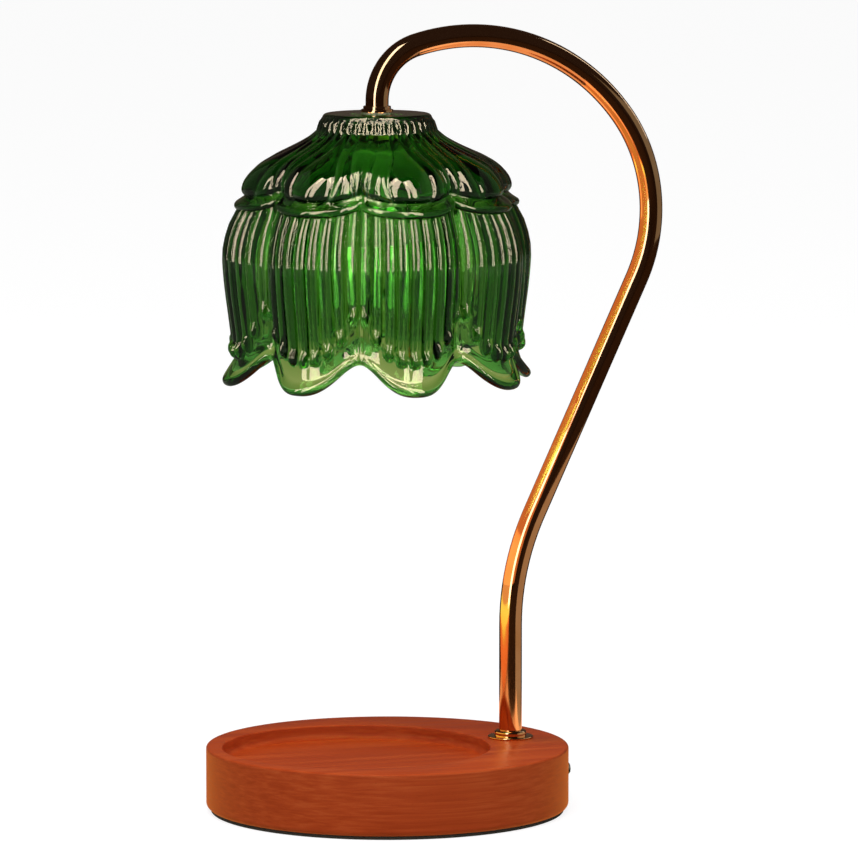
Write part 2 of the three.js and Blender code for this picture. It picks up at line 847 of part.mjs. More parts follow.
function shadeCollar() {
  const hole = armRadius + looseFit;
  const bottom = topGasketThickness;
  const step = bottom + collarPlateHeight;
  const top = step + collarBossHeight;
  return revolve(
    [
      [hole, bottom],
      [collarPlateRadius, bottom],
      [collarPlateRadius, step],
      [collarBossRadius, step],
      [collarBossRadius, top],
      [hole, top],
      [hole, bottom],
    ],
    ringFacets,
  );
}

// Strap bent down at both ends, with feet turned in over the lamp holder
function holderBracket() {
  const top = bracketTopZ;
  const outer = bracketHalfSpan;
  const inner = bracketHalfSpan - bracketThickness;
  const outline = new THREE.Shape();
  outline.moveTo(-outer, top);
  outline.lineTo(-outer, holderTopZ);
  outline.lineTo(-outer + bracketFoot, holderTopZ);
  outline.lineTo(-outer + bracketFoot, holderTopZ + bracketThickness);
  outline.lineTo(-inner, holderTopZ + bracketThickness);
  outline.lineTo(-inner, top - bracketThickness);
  outline.lineTo(inner, top - bracketThickness);
  outline.lineTo(inner, holderTopZ + bracketThickness);
  outline.lineTo(outer - bracketFoot, holderTopZ + bracketThickness);
  outline.lineTo(outer - bracketFoot, holderTopZ);
  outline.lineTo(outer, holderTopZ);
  outline.lineTo(outer, top);
  const strap = new THREE.ExtrudeGeometry(outline, { depth: bracketWidth, bevelEnabled: false });
  strap.rotateX(radians(quarterTurn)).translate(0, bracketWidth / 2, 0);
  const holes = [disc(armRadius + looseFit, top - bracketThickness - cutOverrun, top + cutOverrun)];
  for (const side of [1, -1]) {
    const hole = disc(
      holderScrewRadius + looseFit,
      holderTopZ - cutOverrun,
      holderTopZ + bracketThickness + cutOverrun,
      smallFacets,
    );
    holes.push(hole.translate(side * holderScrewOffset, 0, 0));
  }
  return cut(strap, ...holes);
}

// Curved slot with round ends on the pins' circle, from one angle to another
function arcSlot(halfWidth, from, to, bottom, depth) {
  const reach = pinSpacing / 2;
  const outline = [];
  for (const [x, y] of arc(0, 0, reach + halfWidth, from, to, slotSteps)) outline.push([x, y]);
  const [endX, endY] = around(to, reach);
  outline.push(...arc(endX, endY, halfWidth, to, to + halfTurn, slotSteps).slice(1));
  for (const [x, y] of arc(0, 0, reach - halfWidth, to, from, slotSteps).slice(1)) outline.push([x, y]);
  const [startX, startY] = around(from, reach);
  outline.push(...arc(startX, startY, halfWidth, from + halfTurn, from + fullTurn, slotSteps).slice(1, -1));
  const shape = new THREE.Shape(outline.map(([x, y]) => new THREE.Vector2(x, y)));
  return new THREE.ExtrudeGeometry(shape, { depth, bevelEnabled: false }).translate(0, 0, bottom);
}

function lampHolder() {
  const body = revolve(
    [
      [0, holderFaceZ],
      [holderRadius - holderEdge, holderFaceZ],
      [holderRadius, holderFaceZ + holderEdge],
      [holderRadius, holderTopZ - holderEdge],
      [holderRadius - holderEdge, holderTopZ],
      [0, holderTopZ],
    ],
    ringFacets,
  );
  const tools = [disc(leadEntryRadius, holderTopZ - leadEntryDepth, holderTopZ + cutOverrun, smallFacets)];
  for (const side of [0, halfTurn]) {
    const rest = pinRestAngle + side;
    const release = rest - twistAngle;
    const under = holderFaceZ - cutOverrun;
    const throat = cutOverrun + pinLipThickness;
    tools.push(arcSlot(pinStemRadius + looseFit, release, rest, under, throat + looseFit));
    tools.push(arcSlot(pinHeadRadius + looseFit, release, rest, holderFaceZ + pinLipThickness, pinRoom));
    const [x, y] = around(release, pinSpacing / 2);
    const entry = disc(pinHeadRadius + looseFit, under, holderFaceZ + pinLipThickness + looseFit);
    tools.push(entry.translate(x, y, 0));
  }
  const face = holderFaceZ - cutOverrun;
  const headTop = holderFaceZ + holderScrewHeadHeight + looseFit;
  for (const side of [1, -1]) {
    const x = side * holderScrewOffset;
    const shaft = disc(holderScrewRadius + looseFit, face, holderTopZ + cutOverrun, smallFacets);
    const headRoom = disc(holderScrewHeadRadius + looseFit, face, headTop, smallFacets);
    tools.push(shaft.translate(x, 0, 0), headRoom.translate(x, 0, 0));
  }
  return cut(body, ...tools);
}

function holderScrew() {
  const head = holderFaceZ + looseFit;
  const seat = head + holderScrewHeadHeight;
  return revolve(
    [
      [0, head],
      [holderScrewHeadRadius, head],
      [holderScrewHeadRadius, seat],
      [holderScrewRadius, seat],
      [holderScrewRadius, holderTopZ + bracketThickness + looseFit],
      [0, holderTopZ + bracketThickness + looseFit],
    ],
    smallFacets,
  );
}

// Leaf that lies on the ceiling of a pin's slot and presses on the pin's head
function holderContact(side) {
  const rest = pinRestAngle + side;
  const bottom = holderFaceZ + pinLipThickness + pinRoom - contactThickness;
  return arcSlot(pinHeadRadius - looseFit, rest - twistAngle, rest, bottom, contactThickness);
}

function shadeAssembly() {
  const group = new THREE.Group();
  group.position.set(shadeX, 0, shadeTopZ);
  const gasketTop = -shadeTopThickness;
  const plateTop = gasketTop - gasketThickness;
  const hole = armRadius + looseFit;
  group.add(place("shade_collar", shadeCollar(), finishes.brass));
  group.add(place("upper_gasket", ring(hole, collarBossRadius, 0, topGasketThickness), finishes.silicone));
  group.add(place("glass_shade", glassShade(), finishes.greenGlass));
  group.add(place("lower_gasket", ring(hole, gasketRadius, plateTop, gasketTop), finishes.silicone));
  group.add(place("shade_plate", ring(hole, plateRadius, bracketTopZ, plateTop), finishes.steel));
  group.add(place("holder_bracket", holderBracket(), finishes.steel));
  group.add(place("shade_nut", nut(nutZ, nutHeight), finishes.brass));
  group.add(place("lamp_holder", lampHolder(), finishes.ceramic));
  for (const [index, side] of [1, -1].entries()) {
    const x = side * holderScrewOffset;
    group.add(place("holder_screw_" + (index + 1), holderScrew(), finishes.steel, x));
    const contact = holderContact(index * halfTurn);
    group.add(place("holder_contact_" + (index + 1), contact, finishes.brass));
  }
  return group;
}

// Reflector lamp

function lampCap() {
  const bottom = lampFaceZ - capHeight;
  return revolve(
    [
      [0, bottom],
      [capSkirtRadius, bottom],
      [capRadius, bottom + capBevel],
      [capRadius, lampFaceZ - capBevel],
      [capRadius - capBevel, lampFaceZ],
      [0, lampFaceZ],
    ],
    ringFacets,
  );
}

function lampPin() {
  const neck = lampFaceZ + pinStemLength;
  return revolve(
    [
      [0, lampFaceZ],
      [pinStemRadius, lampFaceZ],
      [pinStemRadius, neck],
      [pinHeadRadius, neck],
      [pinHeadRadius, neck + pinHeadHeight],
      [0, neck + pinHeadHeight],
    ],
    smallFacets,
  );
}

// Open bowl with a straight rim: down its inside from the neck, then up its outside
function lampBowl() {
  const top = lampFaceZ - capHeight;
  const rim = top - bowlHeight;
  const flare = bowlHeight - bowlRimHeight;
  const inside = [];
  const outside = [];
  for (let i = 0; i <= bowlSteps; i++) {
    const share = i / bowlSteps;
    const depth = flare * share ** bowlFlare;
    inside.push([bowlNeckRadius + (bowlRadius - bowlWall - bowlNeckRadius) * share, top - bowlWall - depth]);
    outside.push([capSkirtRadius + (bowlRadius - capSkirtRadius) * share, top - depth]);
  }
  const mouth = [
    [bowlRadius - bowlWall, rim],
    [bowlRadius, rim],
  ];
  const neck = [
    [bowlNeckRadius, top],
    [bowlNeckRadius, top - bowlWall],
  ];
  return revolve([...inside, ...mouth, ...outside.reverse(), ...neck], bowlFacets);
}

function lampAssembly() {
  const group = new THREE.Group();
  group.position.set(shadeX, 0, shadeTopZ);
  const bowlTop = lampFaceZ - capHeight;
  const rim = bowlTop - bowlHeight;
  const capsuleEnd = bowlTop - capsuleLength;
  const capsule = revolve(
    [
      [0, capsuleEnd],
      ...arc(0, capsuleEnd + capsuleRadius, capsuleRadius, -quarterTurn, 0).slice(1),
      [capsuleRadius, bowlTop],
      [0, bowlTop],
    ],
    smallFacets,
  );
  group.add(place("lamp_cap", lampCap(), finishes.ceramic));
  for (const [index, side] of [0, halfTurn].entries()) {
    const [x, y] = around(pinRestAngle + side, pinSpacing / 2);
    group.add(place("lamp_pin_" + (index + 1), lampPin(), finishes.steel, x, y));
  }
  group.add(place("lamp_bowl", lampBowl(), finishes.mirrorGlass));
  const lens = disc(lensRadius, rim + looseFit, rim + looseFit + lensThickness);
  group.add(place("lamp_lens", lens, finishes.clearGlass));
  group.add(place("lamp_capsule", capsule, finishes.clearGlass));
  return group;
}

const lamp = new THREE.Group();
lamp.add(baseAssembly(), armAssembly(), shadeAssembly(), lampAssembly());

export default lamp;
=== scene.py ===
"""Looks of the candle warmer lamp: stained wooden base, bent brass arm and pressed glass shade.

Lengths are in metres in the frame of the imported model: +Z up, +X towards the arm's foot.
"""

import json
import logging
import math
from dataclasses import dataclass
from enum import Enum
from typing import Callable, Iterable, Optional, Sequence

import bmesh
import bpy
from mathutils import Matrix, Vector

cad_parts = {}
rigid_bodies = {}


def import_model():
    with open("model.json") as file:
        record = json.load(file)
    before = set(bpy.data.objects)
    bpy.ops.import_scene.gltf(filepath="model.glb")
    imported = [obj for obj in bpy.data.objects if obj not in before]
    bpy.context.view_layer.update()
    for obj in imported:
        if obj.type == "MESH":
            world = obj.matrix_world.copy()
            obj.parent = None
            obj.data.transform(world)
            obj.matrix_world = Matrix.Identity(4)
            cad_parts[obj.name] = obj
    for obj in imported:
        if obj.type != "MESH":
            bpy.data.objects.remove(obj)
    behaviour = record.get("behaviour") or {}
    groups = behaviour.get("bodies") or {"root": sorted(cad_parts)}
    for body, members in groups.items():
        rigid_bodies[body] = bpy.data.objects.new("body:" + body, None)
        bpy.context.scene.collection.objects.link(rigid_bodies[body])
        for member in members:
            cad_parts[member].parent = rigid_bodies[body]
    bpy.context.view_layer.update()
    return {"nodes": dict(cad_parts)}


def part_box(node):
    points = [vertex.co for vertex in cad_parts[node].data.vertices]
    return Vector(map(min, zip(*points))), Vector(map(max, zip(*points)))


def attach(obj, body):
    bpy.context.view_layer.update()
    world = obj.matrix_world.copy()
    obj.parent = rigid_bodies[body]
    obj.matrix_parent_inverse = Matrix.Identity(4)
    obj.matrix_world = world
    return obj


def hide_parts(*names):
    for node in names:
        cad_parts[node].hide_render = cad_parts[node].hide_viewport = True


log = logging.getLogger("candle_warmer_lamp")

MM = 0.001
FULL_TURN = 2 * math.pi
# Distance at which two points are one
WELD = MM / 500
# Difference in height that still counts as level
LEVEL = MM / 1000
# Angle between two faces, in radians, above which their edge is sharp
SHARP = 0.6
# Values between which a noise texture mostly stays
NOISE_LOW, NOISE_HIGH = 0.3, 0.7
# Numbers of a Mix node's sockets for colours: first, second and result
MIX_FIRST, MIX_SECOND, MIX_RESULT = 6, 7, 2

Point = Sequence[float]
Pair = tuple[float, float]
Triple = tuple[float, float, float]
Tree = bpy.types.NodeTree
Node = bpy.types.Node
Socket = bpy.types.NodeSocket
Piece = bpy.types.Object
Mesh = bmesh.types.BMesh

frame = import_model()


class Body(Enum):
    """Bodies that the pieces ride on."""

    LAMP = "root"
    BULB = "bulb"


class Axis(Enum):
    """Unit directions that pieces are turned about."""

    Y = (0, 1, 0)
    Z = (0, 0, 1)


class Shine(Enum):
    """Where a light shows."""

    SOFT = "on dull surfaces"
    MIRRORED = "in reflections"
    GLASS = "in reflections and through glass"


# Colour and node helpers


def linear(hex_colour: str) -> tuple[float, float, float, float]:
    """Turn an sRGB hex colour to linear light.

    Args:
        hex_colour: Colour such as "#a0421c".

    Returns:
        Linear red, green and blue, and an alpha of one.
    """
    channels = [int(hex_colour[i : i + 2], 16) / 255 for i in (1, 3, 5)]
    light = [c / 12.92 if c <= 0.04045 else ((c + 0.055) / 1.055) ** 2.4 for c in channels]
    return (*light, 1.0)


def add_node(tree: Tree, kind: str, settings: Optional[dict] = None, **links: Socket) -> Node:
    """Add a shader node with its settings and links.

    Args:
        tree: Node tree that gets the node.
        kind: Type of the node, such as "ShaderNodeTexNoise".
        settings: Attributes of the node, values of its sockets by name or number, and under
            "stops" the pairs of place and sRGB hex colour of a colour ramp.
        links: Output sockets to link from, by the name of the input with _ for a space, or by
            _ and the number of the input.

    Returns:
        The new node.
    """
    node = tree.nodes.new(kind)
    for name, value in (settings or {}).items():
        if name == "stops":
            elements = node.color_ramp.elements
            while len(elements) < len(value):
                elements.new(0.5)
            for element, (place, colour) in zip(elements, value):
                element.position = place
                element.color = linear(colour)
        elif isinstance(name, int) or name in node.inputs:
            node.inputs[name].default_value = value
        else:
            setattr(node, name, value)
    for name, socket in links.items():
        wanted = int(name[1:]) if name[1:].isdigit() else name.replace("_", " ")
        tree.links.new(socket, node.inputs[wanted])
    return node


@dataclass(frozen=True)
class Finish:
    """A surface finish, made into one material.

    Attributes:
        name: Name of the material, for what the real surface is.
        colour: Base colour as an sRGB hex value.
        roughness: Roughness of the surface, 0 to 1.
        metallic: One for bare metal, otherwise zero.
        ior: Index of refraction of a surface that isn't metal.
        sockets: Other values of the shader's sockets by name.
    """

    name: str
    colour: str
    roughness: float
    metallic: float = 0.0
    ior: float = 1.5
    sockets: tuple[tuple[str, object], ...] = ()

    def material(self) -> bpy.types.Material:
        """Give the finish's material, made at its first use.

        Returns:
            The material.
        """
        found = bpy.data.materials.get(self.name)
        if found:
            return found
        material = bpy.data.materials.new(self.name)
        material.use_nodes = True
        tree = material.node_tree
        shader = tree.nodes["Principled BSDF"]
        shader.inputs["Base Color"].default_value = linear(self.colour)
        shader.inputs["Roughness"].default_value = self.roughness
        shader.inputs["Metallic"].default_value = self.metallic
        if not self.metallic:
            shader.inputs["IOR"].default_value = self.ior
        for socket, value in self.sockets:
            shader.inputs[socket].default_value = value
        self.detail(tree, shader)
        return material

    def detail(self, tree: Tree, shader: Node) -> None:
        """Add what the real surface shows at close range.

        Args:
            tree: Node tree of the material.
            shader: The material's main shader.
        """

    def place(self, tree: Tree, scale: Point = (1, 1, 1), turn: float = 0.0) -> Socket:
        """Give object coordinates, stretched and turned for a pattern.

        Args:
            tree: Node tree of the material.
            scale: Scale along each axis.
            turn: Turn about Z in radians.

        Returns:
            The vector socket of the coordinates.
        """
        where = add_node(tree, "ShaderNodeTexCoord").outputs["Object"]
        settings = {"Scale": scale, "Rotation": (0, 0, turn)}
        return add_node(tree, "ShaderNodeMapping", settings, Vector=where).outputs["Vector"]

    def grit(self, tree: Tree, size: float, detail: float = 2.0) -> Socket:
        """Give even noise of a real size.

        Args:
            tree: Node tree of the material.
            size: Width of one speck in metres.
            detail: Octaves of the noise.

        Returns:
            The noise's factor socket.
        """
        settings = {"Scale": 1 / size, "Detail": detail}
        noise = add_node(tree, "ShaderNodeTexNoise", settings, Vector=self.place(tree))
        return noise.outputs["Fac"]

    def vary_gloss(
        self, tree: Tree, shader: Node, marks: Socket, smoother: float, rougher: float
    ) -> None:
        """Make the surface smoother and rougher in places.

        Args:
            tree: Node tree of the material.
            shader: The material's main shader.
            marks: Socket with noise.
            smoother: How much the roughness falls where the noise is low.
            rougher: How much it rises where the noise is high.
        """
        settings = {
            "From Min": NOISE_LOW,
            "From Max": NOISE_HIGH,
            "To Min": self.roughness - smoother,
            "To Max": min(self.roughness + rougher, 1),
        }
        gloss = add_node(tree, "ShaderNodeMapRange", settings, Value=marks)
        tree.links.new(gloss.outputs["Result"], shader.inputs["Roughness"])

    def emboss(self, tree: Tree, shader: Node, height: Socket, depth: float) -> None:
        """Give the surface fine bumps.

        Args:
            tree: Node tree of the material.
            shader: The material's main shader.
            height: Socket with the height, 0 to 1.
            depth: Real depth of the bumps in metres.
        """
        bumps = add_node(tree, "ShaderNodeBump", {"Distance": depth}, Height=height)
        tree.links.new(bumps.outputs["Normal"], shader.inputs["Normal"])


@dataclass(frozen=True)
class StainedWood(Finish):
    """Rubberwood, turned, stained red-brown and rubbed with satin lacquer: fine grain and pores.

    Attributes:
        grain: Pairs of place and colour across the grain, dark to light.
        grain_width: Width of one streak on the board's face in metres.
        grain_layer: Height of one streak on the board's edge in metres.
        grain_length: Length of one streak in metres.
        grain_octaves: Octaves of the streaks.
        grain_harshness: How strong the finest streaks are, 0 to 1.
        grain_waver: How far the streaks stray from straight.
        pore_width: Width of one pore in metres.
        pore_length: Length of one pore in metres.
        pore_depth: Depth of one pore in metres.
        pore_colour: Colour of the stain in the pores.
        pore_from: Noise above which a pore begins.
        pore_to: Noise at which it has its full colour.
        pore_strength: How much of its colour shows, 0 to 1.
        board_turn: Turn of the board's length from +X, in radians.
        patch_size: Width of one patch of darker or lighter stain in metres.
        patch_share: How much the patches count beside the streaks.
        smoother: How much smoother the lacquer is in places.
        rougher: How much rougher it is in others.
    """

    grain: tuple[tuple[float, str], ...] = ((0.3, "#ad3f15"), (0.5, "#bb4a1b"), (0.7, "#c75926"))
    grain_width: float = 7 * MM
    grain_layer: float = 1.3 * MM
    grain_length: float = 150 * MM
    grain_octaves: float = 4.0
    grain_harshness: float = 0.6
    grain_waver: float = 0.12
    pore_width: float = 0.3 * MM
    pore_length: float = 5 * MM
    pore_depth: float = 0.008 * MM
    pore_colour: str = "#74290d"
    pore_from: float = 0.64
    pore_to: float = 0.76
    pore_strength: float = 0.22
    board_turn: float = math.radians(8)
    patch_size: float = 60 * MM
    patch_share: float = 0.25
    smoother: float = 0.05
    rougher: float = 0.08

    def detail(self, tree: Tree, shader: Node) -> None:
        """Add grain, pores, a patchy stain and the lacquer's uneven gloss.

        Args:
            tree: Node tree of the material.
            shader: The material's main shader.
        """
        scale = (1 / self.grain_length, 1 / self.grain_width, 1 / self.grain_layer)
        where = self.place(tree, scale, self.board_turn)
        settings = {
            "Scale": 1.0,
            "Detail": self.grain_octaves,
            "Roughness": self.grain_harshness,
            "Distortion": self.grain_waver,
        }
        streaks = add_node(tree, "ShaderNodeTexNoise", settings, Vector=where).outputs["Fac"]
        patches = self.grit(tree, self.patch_size)
        settings = {"operation": "MULTIPLY_ADD", 1: self.patch_share}
        both = add_node(tree, "ShaderNodeMath", settings, _0=patches, _2=streaks).outputs[0]
        settings = {"operation": "SUBTRACT", 1: self.patch_share / 2}
        level = add_node(tree, "ShaderNodeMath", settings, _0=both).outputs[0]
        stain = add_node(tree, "ShaderNodeValToRGB", {"stops": self.grain}, Fac=level)
        scale = (1 / self.pore_length, 1 / self.pore_width, 1 / self.pore_width)
        where = self.place(tree, scale, self.board_turn)
        settings = {"Scale": 1.0, "Detail": 1.0}
        pores = add_node(tree, "ShaderNodeTexNoise", settings, Vector=where).outputs["Fac"]
        settings = {
            "From Min": self.pore_from,
            "From Max": self.pore_to,
            "To Min": 0.0,
            "To Max": self.pore_strength,
        }
        pore = add_node(tree, "ShaderNodeMapRange", settings, Value=pores).outputs["Result"]
        settings = {"data_type": "RGBA", MIX_SECOND: linear(self.pore_colour)}
        mix = add_node(tree, "ShaderNodeMix", settings, _0=pore, _6=stain.outputs["Color"])
        tree.links.new(mix.outputs[MIX_RESULT], shader.inputs["Base Color"])
        self.vary_gloss(tree, shader, streaks, self.smoother, self.rougher)
        self.emboss(tree, shader, pores, self.pore_depth)


@dataclass(frozen=True)
class Moulded(Finish):
    """Moulded plastic, foam or rubber: fine grit over the whole surface.

    Attributes:
        grit_size: Width of one speck of the mould's texture in metres.
        grit_depth: Depth of the texture in metres.
        second: Colour of the specks, as an sRGB hex value.
        specks: Noise at which the specks begin, and at which they have their full colour.
        smoother: How much smoother the surface is in places.
        rougher: How much rougher it is in others.
    """

    grit_size: float = 0.5 * MM
    grit_depth: float = 0.03 * MM
    second: str = "#202024"
    specks: Pair = (0.35, 0.7)
    smoother: float = 0.06
    rougher: float = 0.08

    def detail(self, tree: Tree, shader: Node) -> None:
        """Add the mould's texture and a faint speckle.

        Args:
            tree: Node tree of the material.
            shader: The material's main shader.
        """
        grit = self.grit(tree, self.grit_size)
        settings = {"stops": tuple(zip(self.specks, (self.colour, self.second)))}
        colour = add_node(tree, "ShaderNodeValToRGB", settings, Fac=grit)
        tree.links.new(colour.outputs["Color"], shader.inputs["Base Color"])
        self.vary_gloss(tree, shader, grit, self.smoother, self.rougher)
        self.emboss(tree, shader, grit, self.grit_depth)


@dataclass(frozen=True)
class Metal(Finish):
    """Bare or plated metal: faint uneven polish, with finger marks in the gloss.

    Attributes:
        mark_size: Width of one mark in metres.
        mark_gloss: How much rougher the marks are.
        mark_octaves: Octaves of the marks.
        second: Colour in the tarnished places, as an sRGB hex value.
        tarnish: Noise at which the tarnish begins, and at which it has its full colour.
    """

    metallic: float = 1.0
    mark_size: float = 9 * MM
    mark_gloss: float = 0.06
    mark_octaves: float = 4.0
    second: str = "#c08a4c"
    tarnish: Pair = (0.35, 0.75)

    def detail(self, tree: Tree, shader: Node) -> None:
        """Add marks in the polish and a slight change of colour.

        Args:
            tree: Node tree of the material.
            shader: The material's main shader.
        """
        marks = self.grit(tree, self.mark_size, self.mark_octaves)
        settings = {"stops": tuple(zip(self.tarnish, (self.colour, self.second)))}
        colour = add_node(tree, "ShaderNodeValToRGB", settings, Fac=marks)
        tree.links.new(colour.outputs["Color"], shader.inputs["Base Color"])
        self.vary_gloss(tree, shader, marks, 0, self.mark_gloss)


@dataclass(frozen=True)
class Glass(Finish):
    """Clear or coloured glass: light passes, and a coloured one darkens with its thickness.

    Attributes:
        absorb_colour: sRGB hex colour that the glass lets through, or none for clear glass.
        absorb_density: How fast the other colours are lost, per metre.
        ripple: Width of the fire polish's soft waves in metres, or zero for none.
        ripple_depth: Depth of the waves in metres.
    """

    absorb_colour: Optional[str] = None
    absorb_density: float = 0.0
    ripple: float = 0.0
    ripple_depth: float = 0.0

    def detail(self, tree: Tree, shader: Node) -> None:
        """Add the colour in the glass and the waves of its skin.

        Args:
            tree: Node tree of the material.
            shader: The material's main shader.
        """
        shader.inputs["Transmission Weight"].default_value = 1.0
        if self.absorb_colour:
            settings = {"Color": linear(self.absorb_colour), "Density": self.absorb_density}
            inside = add_node(tree, "ShaderNodeVolumeAbsorption", settings)
            output = tree.nodes["Material Output"]
            tree.links.new(inside.outputs["Volume"], output.inputs["Volume"])
        if self.ripple:
            waves = self.grit(tree, self.ripple, detail=1.0)
            self.emboss(tree, shader, waves, self.ripple_depth)


# Stained rubberwood under satin lacquer: warm red-brown, a soft sheen and no mirror image
STAINED_WOOD = StainedWood(
    "stained_rubberwood_satin_lacquer",
    "#b9481a",
    0.34,
    sockets=(("Specular IOR Level", 0.3),),
)
# Closed-cell EVA foam, die cut: dead black with open cells
FOAM = Moulded(
    "eva_foam_black",
    "#0b0b0c",
    0.95,
    second="#19191b",
    grit_size=0.7 * MM,
    grit_depth=0.12 * MM,
)
# Hardboard painted black: matt with a fine pressed texture
FIBRE = Moulded(
    "painted_hardboard_black",
    "#1d1d20",
    0.8,
    second="#2a2a2e",
    grit_size=1.2 * MM,
    grit_depth=0.08 * MM,
)
# Nylon 66, moulded: black with a low sheen
BLACK_NYLON = Moulded("nylon_black_moulded", "#0c0c0e", 0.42, second="#141416")
# Polycarbonate, moulded: warm white terminal block
WHITE_PLASTIC = Moulded("polycarbonate_white_moulded", "#e4e1d8", 0.4, second="#dad6cb")
# Silicone sleeve and gaskets: milky, waxy
SILICONE = Moulded("silicone_milky", "#d8d6cf", 0.55, second="#c9c7bf", grit_size=0.8 * MM)
# Steatite, fired and unglazed: chalky cream with fine pits
STEATITE = Moulded(
    "steatite_unglazed",
    "#e9e3d5",
    0.62,
    second="#d9d0be",
    grit_size=0.6 * MM,
    grit_depth=0.06 * MM,
)
# Steel, zinc plated: grey with a slightly cloudy shine
ZINC_STEEL = Metal("steel_zinc_plated", "#b4b7bb", 0.32, second="#9da1a6", mark_size=3 * MM)
# Brass tube, polished and lacquered: rose gold, sharp reflections
POLISHED_BRASS = Metal(
    "brass_polished_lacquered",
    "#e3b27a",
    0.07,
    second="#d9a468",
    mark_gloss=0.03,
)
# Brass nuts and contacts, machined: yellow, less polished
PLAIN_BRASS = Metal("brass_machined", "#cda35c", 0.28, second="#b58b47", mark_size=2 * MM)
# Nickel plate on the lamp's pins
NICKEL = Metal("nickel_plated", "#c9c5bd", 0.2, second="#b3afa6", mark_size=2 * MM)
# Soda-lime glass coloured with chrome, pressed and fire polished: emerald, darker where it is thick
GREEN_GLASS = Glass(
    "soda_lime_glass_emerald_pressed",
    "#f4fff4",
    0.004,
    ior=1.52,
    absorb_colour="#a9d999",
    absorb_density=540,
    ripple=16 * MM,
    ripple_depth=0.006 * MM,
)
# Borosilicate glass, clear: the lamp's front lens and its capsule
CLEAR_GLASS = Glass(
    "borosilicate_glass_clear",
    "#ffffff",
    0.02,
    ior=1.47,
    ripple=5 * MM,
    ripple_depth=0.03 * MM,
)
# Aluminium coat inside the lamp's bowl: bright mirror
MIRROR_COAT = Metal(
    "aluminium_mirror_coat",
    "#dcdee2",
    0.08,
    second="#c8cace",
    mark_size=4 * MM,
)


# Modelling helpers


def deselect() -> None:
    """Leave nothing selected."""
    bpy.ops.object.select_all(action="DESELECT")


def take(piece: Piece) -> None:
    """Make one piece the only selected and active one.

    Args:
        piece: Piece to select.
    """
    deselect()
    piece.select_set(True)
    bpy.context.view_layer.objects.active = piece


def edit(piece: Piece, work: Callable[[Mesh], None], mode: str = "VERT") -> None:
    """Run operators on a piece in edit mode.

    Args:
        piece: Piece to edit.
        work: Function that selects in the given mesh and calls the operators.
        mode: What is selected: VERT, EDGE or FACE.
    """
    take(piece)
    bpy.ops.object.mode_set(mode="EDIT")
    bpy.ops.mesh.select_mode(type=mode)
    bpy.ops.mesh.select_all(action="DESELECT")
    work(bmesh.from_edit_mesh(piece.data))
    bpy.ops.object.mode_set(mode="OBJECT")


def pick(piece: Piece, mesh: Mesh, items: Iterable, wanted: Callable[[object], bool]) -> None:
    """Select the parts of a mesh that pass a test, and no others.

    Args:
        piece: Piece in edit mode.
        mesh: Its edit mesh.
        items: The mesh's vertices, edges or faces.
        wanted: The test.
    """
    for item in items:
        item.select_set(bool(wanted(item)))
    mesh.select_flush_mode()
    bmesh.update_edit_mesh(piece.data)


def close_mesh() -> None:
    """Weld the doubles of the mesh in edit mode, and turn its faces outwards."""
    bpy.ops.mesh.select_all(action="SELECT")
    bpy.ops.mesh.remove_doubles(threshold=WELD)
    bpy.ops.mesh.normals_make_consistent(inside=False)


def modify(piece: Piece, kind: str, **settings) -> None:
    """Add a modifier with its settings and apply it.

    Args:
        piece: Piece that gets the modifier.
        kind: Type of the modifier, such as "SOLIDIFY".
        settings: Its settings by name.
    """
    take(piece)
    modifier = piece.modifiers.new(kind.title(), kind)
    for name, value in settings.items():
        setattr(modifier, name, value)
    bpy.ops.object.modifier_apply(modifier=modifier.name)


def smooth(piece: Piece, degrees: float = 40) -> None:
    """Shade a piece smooth, apart from its sharp edges.

    Args:
        piece: Piece to shade.
        degrees: Angle above which an edge stays sharp.
    """
    take(piece)
    bpy.ops.object.shade_smooth_by_angle(angle=math.radians(degrees))


def settle(piece: Piece) -> None:
    """Put a piece's place into its mesh, so that its object sits unturned at the origin."""
    take(piece)
    bpy.ops.object.transform_apply(location=True, rotation=True, scale=True)


def add_cylinder(
    name: str, radius: float, bottom: float, top: float, sides: int, at: Point = (0, 0)
) -> Piece:
    """Add an upright cylinder between two heights.

    Args:
        name: Name of the piece.
        radius: Its radius.
        bottom: Its lowest height.
        top: Its highest height.
        sides: Number of sides.
        at: Its axis in plan.

    Returns:
        The new piece.
    """
    deselect()
    bpy.ops.mesh.primitive_cylinder_add(
        vertices=sides,
        radius=radius,
        depth=top - bottom,
        location=(at[0], at[1], (bottom + top) / 2),
    )
    piece = bpy.context.object
    piece.name = name
    settle(piece)
    return piece


def bevel_rim(
    piece: Piece,
    height: float,
    width: float,
    steps: int,
    near: Optional[Callable[[Vector], bool]] = None,
) -> None:
    """Round the sharp edges that lie at one height.

    Args:
        piece: Piece to round.
        height: Height of the edges.
        width: Width of the rounding.
        steps: Faces across the rounding.
        near: Test of an edge's middle, where not all edges are meant.
    """

    def wanted(edge: bmesh.types.BMEdge) -> bool:
        """Tell whether an edge is to be rounded.

        Args:
            edge: Edge of the piece.

        Returns:
            True for a sharp edge at the height, near enough to what is meant.
        """
        middle = (edge.verts[0].co + edge.verts[1].co) / 2
        level = all(abs(v.co.z - height) < LEVEL for v in edge.verts)
        sharp = len(edge.link_faces) == 2 and edge.calc_face_angle(0) > SHARP
        return level and sharp and (near is None or near(middle))

    def work(mesh: Mesh) -> None:
        """Bevel the wanted edges."""
        pick(piece, mesh, mesh.edges, wanted)
        bpy.ops.mesh.bevel(offset=width, segments=steps, profile=0.5, affect="EDGES")

    edit(piece, work, "EDGE")


